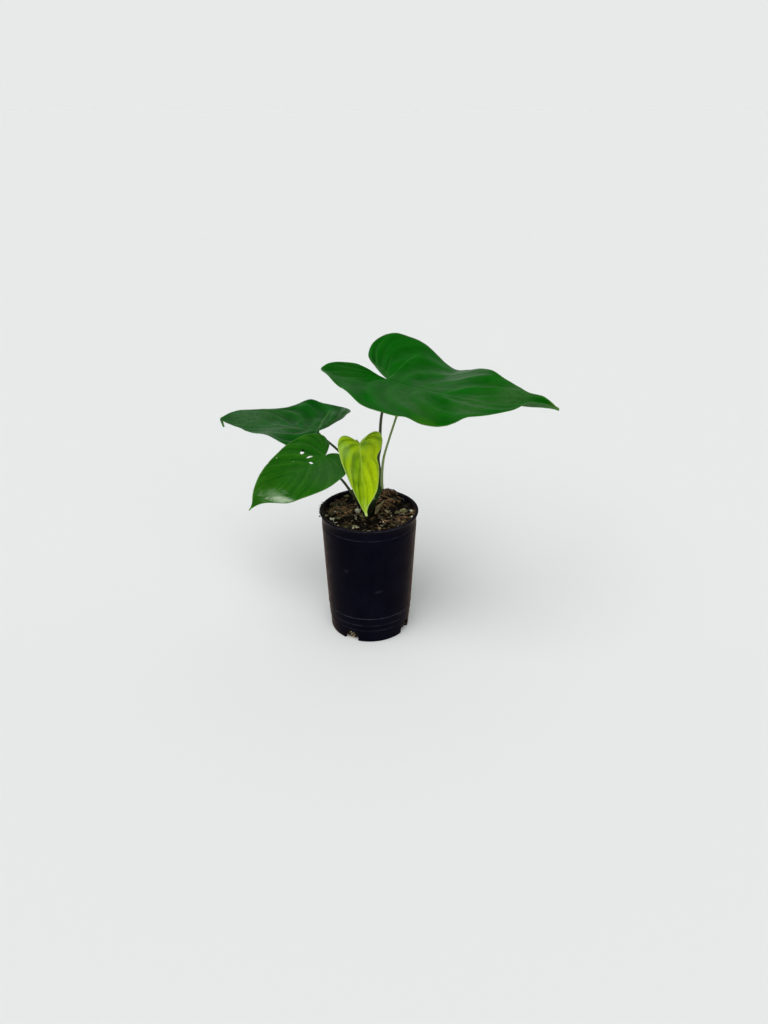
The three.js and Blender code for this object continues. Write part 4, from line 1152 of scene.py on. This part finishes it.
placedClumps = [
    (-20.9, 6.0, 9, 60, 62, 16, .10, 0), (-25, -4, 8, 26, 50, 20, .10, 0), (-18, -14, 7, 18, 20, 25, .12, 1),
    (30, -17, 10, 26, -14, 22, .18, 0), (22, -25, 8, 16, 40, 30, .18, 0), (36, -22, 6, 10, -30, 25, .20, 2),
    (0, -26, 11, 18, 30, 60, .20, 1), (18, 27, 10, 40, 0, 90, .50, 0), (24, 30, 8, 20, 60, 90, .62, 1),
    (15, 5, 10, 46, 30, 90, .40, 0), (14, 2, 8, 16, 80, 90, .45, 1), (-34, 18, 8, 14, 30, 60, .15, 2),
]
# Name, dark and light colour of each kind of chip and of fibre.
chipKinds = (("barkDark", (.0014, .0012, .0010), (.034, .024, .014)),
             ("barkBrown", (.010, .006, .003), (.58, .36, .17)),
             ("barkOlive", (.010, .010, .004), (.56, .52, .24)),
             ("barkPale", (.05, .045, .028), (.95, .90, .66)))
fibreKinds = (("coirBrown", (.016, .008, .004), (.78, .47, .24)),
              ("coirDark", (.003, .0025, .002), (.045, .030, .016)),
              ("coirGrey", (.016, .015, .010), (.50, .46, .30)))


# Height of the mix: near level, rough, higher at the mound behind the stem.
def mixHeight(x, y):
    waves = (np.sin(.31 * x + .7) * np.cos(.27 * y - .4) + .6 * np.sin(.62 * x - .55 * y + 1.9)
             + .45 * np.cos(.9 * x + .75 * y))
    away = np.hypot(x - mix["moundAt"][0], y - mix["moundAt"][1]) / mix["moundRadius"]
    return mix["level"] + mix["roughness"] / 2 * waves + mix["moundHeight"] * np.exp(-away ** 2)


# Brightness of a bit of mix, from 0 to 1: mostly low, and lower still in the dark places,
# which are painted shade under the leaves and by the rim.
def toneAt(random, x, y):
    shade = sum(np.exp(-((x - cx) ** 2 + (y - cy) ** 2) / reach ** 2) for cx, cy, reach in mix["dark"])
    return random.uniform(0, 1, len(x)) ** (1.9 + 3.5 * shade)


# Bed of mix: a lumpy disc whose edge turns down inside the pot's wall to the pot's floor.
def makeMixBed():
    sides = mix["sides"]
    angle = np.linspace(0, 2 * np.pi, sides, endpoint=False)[None]
    rim = float(innerRadius(mix["level"])) - .3
    share = np.linspace(0, 1, mix["rings"])[:, None]
    r = rim * share ** .85
    x, y = r * np.cos(angle), r * np.sin(angle)
    lumps = 1.1 * softNoise(x / 4 + 30, y / 4 + 30, 5, 4) + .9 * abs(softNoise(x / 2.2 + 50, y / 2.2 + 50, 12, 3))
    top = np.stack([x, y, mixHeight(x, y) + (lumps - .6) * (1 - .75 * smoothStep(share, .93, 1))], -1)
    downZ = np.concatenate([np.linspace(mix["level"] - 3, 14, 18), np.linspace(12.5, 2.6, 14)])[:, None]
    hollow = 2.2 * abs(softNoise(angle * 30 / np.pi, downZ / 2.4, 77, 3))
    hollow = hollow * smoothStep(np.minimum(angle, 2 * np.pi - angle), 0, .1)
    sideR = innerRadius(downZ) - .3 - (1 - smoothStep(downZ, 12, 18)) * (.4 + hollow)
    side = np.stack([sideR * np.cos(angle), sideR * np.sin(angle), downZ + 0 * angle], -1)
    baseR = np.array([36, 24, 12, 0])[:, None]
    base = np.stack([baseR * np.cos(angle), baseR * np.sin(angle), 2.0 + 0 * (baseR + angle)], -1)
    grid = np.concatenate([top, side, base])
    dark = mixFinish("mixDark", (.010, .007, .005), 2.2)
    bed = addPiece("mixBed", grid, gridFaces(len(grid), sides, joined=True), dark)
    settle(bed, "potting_mix", "potting_mix")


# Damp peat: patches from nearly black to the light colour, with paler grit.
def mixFinish(name, light, size):
    made = Finish(name, Specular_IOR_Level=.25)
    place = made.place()
    patches = mottle(place, size, .22)
    grit = specks(place, 1.5, .16, .12)
    colour = blend(patches, mix["peat"], light)
    colour = blend(mottle(place, size * 5, .2) * .5, colour, [v * .6 for v in light])
    colour = blend(grit * .5, colour, [v * 3.5 for v in light])
    return made.done(colour, grit * .4 + patches, .5, patches * -.2 + .85)


# Bark, fibres and roots: each bit is as light as its own tone and its layers make it.
def barkFinish(name, dark, light):
    made = Finish(name, Specular_IOR_Level=.15)
    place = made.place()
    layers = streaks(place, (.9, .35, 1.6), .16)
    patches = mottle(place, 2.4, .2)
    share = remap(layers * .3 + (made.read("tone", "Fac") - .12), 0.0, 1.0, soft=False)
    colour = blend(patches * .35, blend(share, dark, light), dark)
    return made.done(colour, layers, .4, patches * .2 + .6)


# Adds loose bits of the mix. The tone of each bit is repeated for all its points.
def addBits(name, shape, tone, finish, **settings):
    points, faces = shape
    own = np.repeat(tone, len(points) // len(tone))[:, None]
    settle(addPiece(name, points, faces, finish, {"tone": own}, **settings), "potting_mix")


# Many small lumps at once: each is a ball of few faces, squeezed to its own size, roughened
# point by point, turned by its own angles and set down at its own place.
def lumpPoints(places, sizes, turns, roughness, seed, sides=8, rings=5):
    count = len(places)
    up = np.linspace(0, np.pi, rings)[:, None]
    angle = np.linspace(0, 2 * np.pi, sides, endpoint=False)
    ball = np.stack([np.sin(up) * np.cos(angle), np.sin(up) * np.sin(angle), np.cos(up) + 0 * angle], -1)
    rough = 1 + roughness * np.random.default_rng(seed).uniform(-1, 1, (count, rings, sides, 1))
    rough[:, 0] = rough[:, 0, :1]
    rough[:, -1] = rough[:, -1, :1]
    points = ball[None] * rough * np.asarray(sizes)[:, None, None] / 2
    points = np.einsum("nij,nrsj->nrsi", turning(*np.asarray(turns).T), points) + np.asarray(places)[:, None, None]
    return points.reshape(-1, 3), copiedFaces(gridFaces(rings, sides, joined=True), count, rings * sides)


# Random places on the mix, even over the disc and clear of the stem.
def scatter(random, count, reach=45.0, clear=6.5):
    angle = random.uniform(0, 2 * np.pi, count * 2)
    r = reach * np.sqrt(random.uniform(0, 1, count * 2))
    x, y = r * np.cos(angle), r * np.sin(angle)
    keep = np.hypot(x - .5, y) > clear
    return x[keep][:count], y[keep][:count]


# Chips of bark: some placed, most scattered, and some heaped against the stem.
def makeChips():
    random = np.random.default_rng(mix["seed"])
    count = mix["chips"]
    x, y = scatter(random, count)
    low, high = mix["chipLength"]
    length = low + (high - low) * random.uniform(0, 1, count) ** 2.4
    sizes = np.stack([length, length * random.uniform(.35, .75, count), length * random.uniform(.16, .34, count)], -1)
    turns = np.stack([random.uniform(0, 360, count), random.normal(0, 20, count), random.normal(0, 20, count)], -1)
    lift = random.uniform(-.5, 1.4, count)
    kinds = random.choice(4, count, p=[.40, .27, .20, .13])
    placed = np.array(placedChips, float)
    first = slice(0, len(placed))
    x[first], y[first], turns[first, 0], kinds[first] = placed[:, 0], placed[:, 1], placed[:, 3], placed[:, 4]
    sizes[first] = placed[:, 2:3] * [1, .6, .34]
    turns[first, 1:] *= .4
    lift[first] = 1.6
    z = mixHeight(x, y) + lift
    z = np.where(np.hypot(x, y) > 42, np.minimum(z, 128.6), z)
    pile = mix["pileChips"]
    share = random.uniform(0, 1, pile) ** .7  # of the pile's radius
    turn = random.uniform(0, 2 * np.pi, pile)
    x = np.concatenate([x, mix["pileAt"][0] + mix["pileRadius"] * share * np.cos(turn)])
    y = np.concatenate([y, mix["pileAt"][1] + mix["pileRadius"] * share * np.sin(turn)])
    z = np.concatenate([z, mix["level"] + 1 + mix["pileHeight"] * (1 - share) * random.uniform(.5, 1, pile)])
    sizes = np.concatenate([sizes, random.uniform(2.5, 6, (pile, 1)) * [1, .6, .4]])
    turns = np.concatenate([turns, random.uniform(0, 1, (pile, 3)) * [360, 50, 50]])
    kinds = np.concatenate([kinds, random.choice(4, pile, p=[.40, .22, .24, .14])])
    places = np.stack([x, y, z], -1)
    tone = toneAt(random, x, y)
    for kind, (name, dark, light) in enumerate(chipKinds):
        pick = kinds == kind
        shape = lumpPoints(places[pick], sizes[pick], turns[pick], .18, mix["seed"] + 3)
        addBits(name, shape, tone[pick], barkFinish(name + "Finish", dark, light), smooth=False)


# Fibres: thin tubes along lines that leave their places in their own directions and curl,
# a bend that grows with the square of the length and a wave, thin to nothing at both ends.
def fibrePoints(places, headings, lengths, radii, lift, seed, steps=12, sides=4):
    random = np.random.default_rng(seed)
    count = len(places)
    s = np.linspace(-.5, .5, steps)[None]
    bend = random.normal(0, .9, (count, 1)) * s ** 2 * 2
    bend = bend + random.normal(0, .10, (count, 1)) * np.sin(s * random.uniform(8, 16, (count, 1)))
    rise = lift[:, None] * (.25 - s ** 2) * 2 + random.normal(0, .05, (count, 1)) * np.sin(s * 11)
    c, sn = np.cos(headings)[:, None], np.sin(headings)[:, None]
    away = np.stack([s * c - bend * sn, s * sn + bend * c, rise], -1)
    line = places[:, None] + lengths[:, None, None] * away
    ahead = np.gradient(line, axis=1)
    ahead /= np.linalg.norm(ahead, axis=2, keepdims=True)
    side = np.cross(ahead, np.array([.1, .2, 1.0]))
    side /= np.linalg.norm(side, axis=2, keepdims=True)
    other = np.cross(side, ahead)
    angle = np.linspace(0, 2 * np.pi, sides, endpoint=False)[:, None]
    taper = np.sqrt(np.clip(1 - (2 * s) ** 6, 0, 1))
    radius = (radii[:, None] * taper)[..., None, None]
    points = line[:, :, None] + radius * (np.cos(angle) * side[:, :, None] + np.sin(angle) * other[:, :, None])
    return points.reshape(-1, 3), copiedFaces(gridFaces(steps, sides, joined=True), count, steps * sides)


# Coir: scattered fibres and the placed clumps, which also lie over the pile by the stem.
def makeFibres():
    random = np.random.default_rng(mix["seed"] + 11)
    count = mix["fibres"]
    x, y = scatter(random, count, 43.0)
    lengths = random.uniform(5, 15, count)
    headings = random.uniform(0, 2 * np.pi, count)
    lift = np.clip(random.normal(.12, .12, count), 0, .5)
    kinds = random.choice(3, count, p=[.45, .35, .20])
    for cx, cy, reach, number, heading, spread, rise, kind in placedClumps:
        x = np.concatenate([x, cx + random.normal(0, reach / 3, number)])
        y = np.concatenate([y, cy + random.normal(0, reach / 3, number)])
        lengths = np.concatenate([lengths, reach * random.uniform(.6, 1.5, number)])
        headings = np.concatenate([headings, np.radians(heading + spread * random.normal(0, .6, number))])
        lift = np.concatenate([lift, rise * random.uniform(.4, 1.4, number)])
        kinds = np.concatenate([kinds, np.where(random.uniform(0, 1, number) < .75, kind, 1 - min(kind, 1))])
    edge = np.hypot(x, y)
    keep = edge < 43.5
    x, y, lengths, headings, lift, kinds, edge = (v[keep] for v in (x, y, lengths, headings, lift, kinds, edge))
    lengths = np.where(edge + lengths / 2 < 46, lengths, np.clip((46 - edge) * 1.6, 2, None))
    onPile = np.clip(1 - np.hypot(x - mix["pileAt"][0], y - mix["pileAt"][1]) / mix["pileRadius"], 0, 1)
    z = mixHeight(x, y) + random.uniform(.4, 2.0, len(x)) + .8 * mix["pileHeight"] * onPile
    radii = random.uniform(.14, .34, len(x)) * np.where(np.arange(len(x)) > mix["fibres"] * .9, 1.6, 1)
    places = np.stack([x, y, z], -1)
    tone = toneAt(random, x, y)
    for kind, (name, dark, light) in enumerate(fibreKinds):
        pick = kinds == kind
        shape = fibrePoints(places[pick], headings[pick], lengths[pick], radii[pick], lift[pick], mix["seed"] + 12)
        addBits(name, shape, tone[pick], barkFinish(name + "Finish", dark, light), sharpAngle=180)


# White grains of perlite: some placed, the rest scattered.
def makeGrains():
    random = np.random.default_rng(mix["seed"] + 21)
    count = mix["grains"]
    x, y = scatter(random, count, 42.0, 8.0)
    size = random.uniform(.7, 2.2, count)
    placed = np.array(placedGrains, float).T
    first = slice(0, placed.shape[1])
    x[first], y[first], size[first] = placed
    sizes = size[:, None] * random.uniform(.75, 1.15, (count, 3))
    places = np.stack([x, y, mixHeight(x, y) + size * .25 + .9], -1)
    points, faces = lumpPoints(places, sizes, random.uniform(0, 360, (count, 3)), .13, 91, sides=9, rings=7)
    made = Finish("perliteWhite", Specular_IOR_Level=.3, Roughness=.8)
    place = made.place()
    pores = mottle(place, .55, .25)
    colour = blend(pores, (.70, .68, .48), (.95, .93, .74))
    white = made.done(blend(mottle(place, 3.0, .15) * .4, colour, (.26, .24, .12)), pores, .25)
    settle(addPiece("perliteGrains", points, faces, white, sharpAngle=60), "potting_mix")


# Crumbs of peat that fill between the chips.
def makeCrumbs():
    random = np.random.default_rng(mix["seed"] + 31)
    count = mix["crumbs"]
    x, y = scatter(random, count, 46.0, 5.8)
    size = random.uniform(.6, 2.4, count)
    sizes = size[:, None] * random.uniform(.6, 1.2, (count, 3))
    places = np.stack([x, y, mixHeight(x, y) + random.uniform(-.6, .3, count)], -1)
    points, faces = lumpPoints(places, sizes, random.uniform(0, 360, (count, 3)), .22, 95, sides=5, rings=4)
    peat = mixFinish("peatFinish", (.014, .010, .007), 1.6)
    settle(addPiece("peatCrumbs", points, faces, peat, smooth=False), "potting_mix")


# Roots and fibres that show in the drainage notches, lying round just inside the wall. They
# are light in the first notch, at the front left, and dark in the others.
def makeNotchRoots():
    random = np.random.default_rng(mix["seed"] + 41)
    each = mix["notchRoots"]
    turn = np.radians(np.repeat(pot["notchAngles"], each)) + random.normal(0, .09, each * 4)
    r = random.uniform(35.6, 37.2, each * 4)
    places = np.stack([r * np.cos(turn), r * np.sin(turn), random.uniform(.9, 8.5, each * 4)], -1)
    headings = turn + np.pi / 2 + random.normal(0, .12, each * 4)
    tone = random.uniform(0, 1, each * 4) * np.repeat([.35, .12, .2, .2], each) + np.repeat([.55, 0, 0, 0], each)
    lengths = random.uniform(2.5, 4.8, each * 4)
    radii = random.uniform(.3, .7, each * 4)
    shape = fibrePoints(places, headings, lengths, radii, np.zeros(each * 4), mix["seed"] + 42)
    addBits("notchRoots", shape, tone, barkFinish("rootFinish", (.03, .02, .01), (.92, .74, .48)), sharpAngle=180)


# Threads and crumbs caught on the rim at the left.
def makeRimDebris():
    random = np.random.default_rng(mix["seed"] + 51)
    count = mix["rimBits"]
    turn = np.radians(random.normal(179, 8, count))
    r = random.uniform(46.8, 49.6, count)
    z = np.where(r > 48.6, random.uniform(125, 131, count), random.uniform(131.6, 132.6, count))
    places = np.stack([r * np.cos(turn), r * np.sin(turn), z], -1)
    sizes = random.uniform(.6, 2.0, (count, 1)) * random.uniform(.5, 1.1, (count, 3))
    shape = lumpPoints(places, sizes, random.uniform(0, 360, (count, 3)), .25, 97, sides=6, rings=5)
    tone = random.uniform(0, 1, count)
    addBits("rimCrumbs", shape, tone, barkFinish("rimCrumbFinish", (.008, .010, .007), (.12, .13, .09)),
            smooth=False)
    headings = turn + np.pi / 2 + random.normal(0, .5, count)
    shape = fibrePoints(places + [0, 0, .3], headings, random.uniform(1.5, 3.4, count),
                        random.uniform(.12, .26, count), random.uniform(0, .3, count), mix["seed"] + 52)
    addBits("rimThreads", shape, tone, barkFinish("rimThreadFinish", (.010, .012, .009), (.14, .15, .11)),
            sharpAngle=180)


makeCamera()
makeRoom()
makePot()
makeMixBed()
makeChips()
makeFibres()
makeGrains()
makeCrumbs()
makeNotchRoots()
makeRimDebris()
makeStem()
makeSheath()
makeStalks()
makeBlades()

bpy.context.view_layer.update()
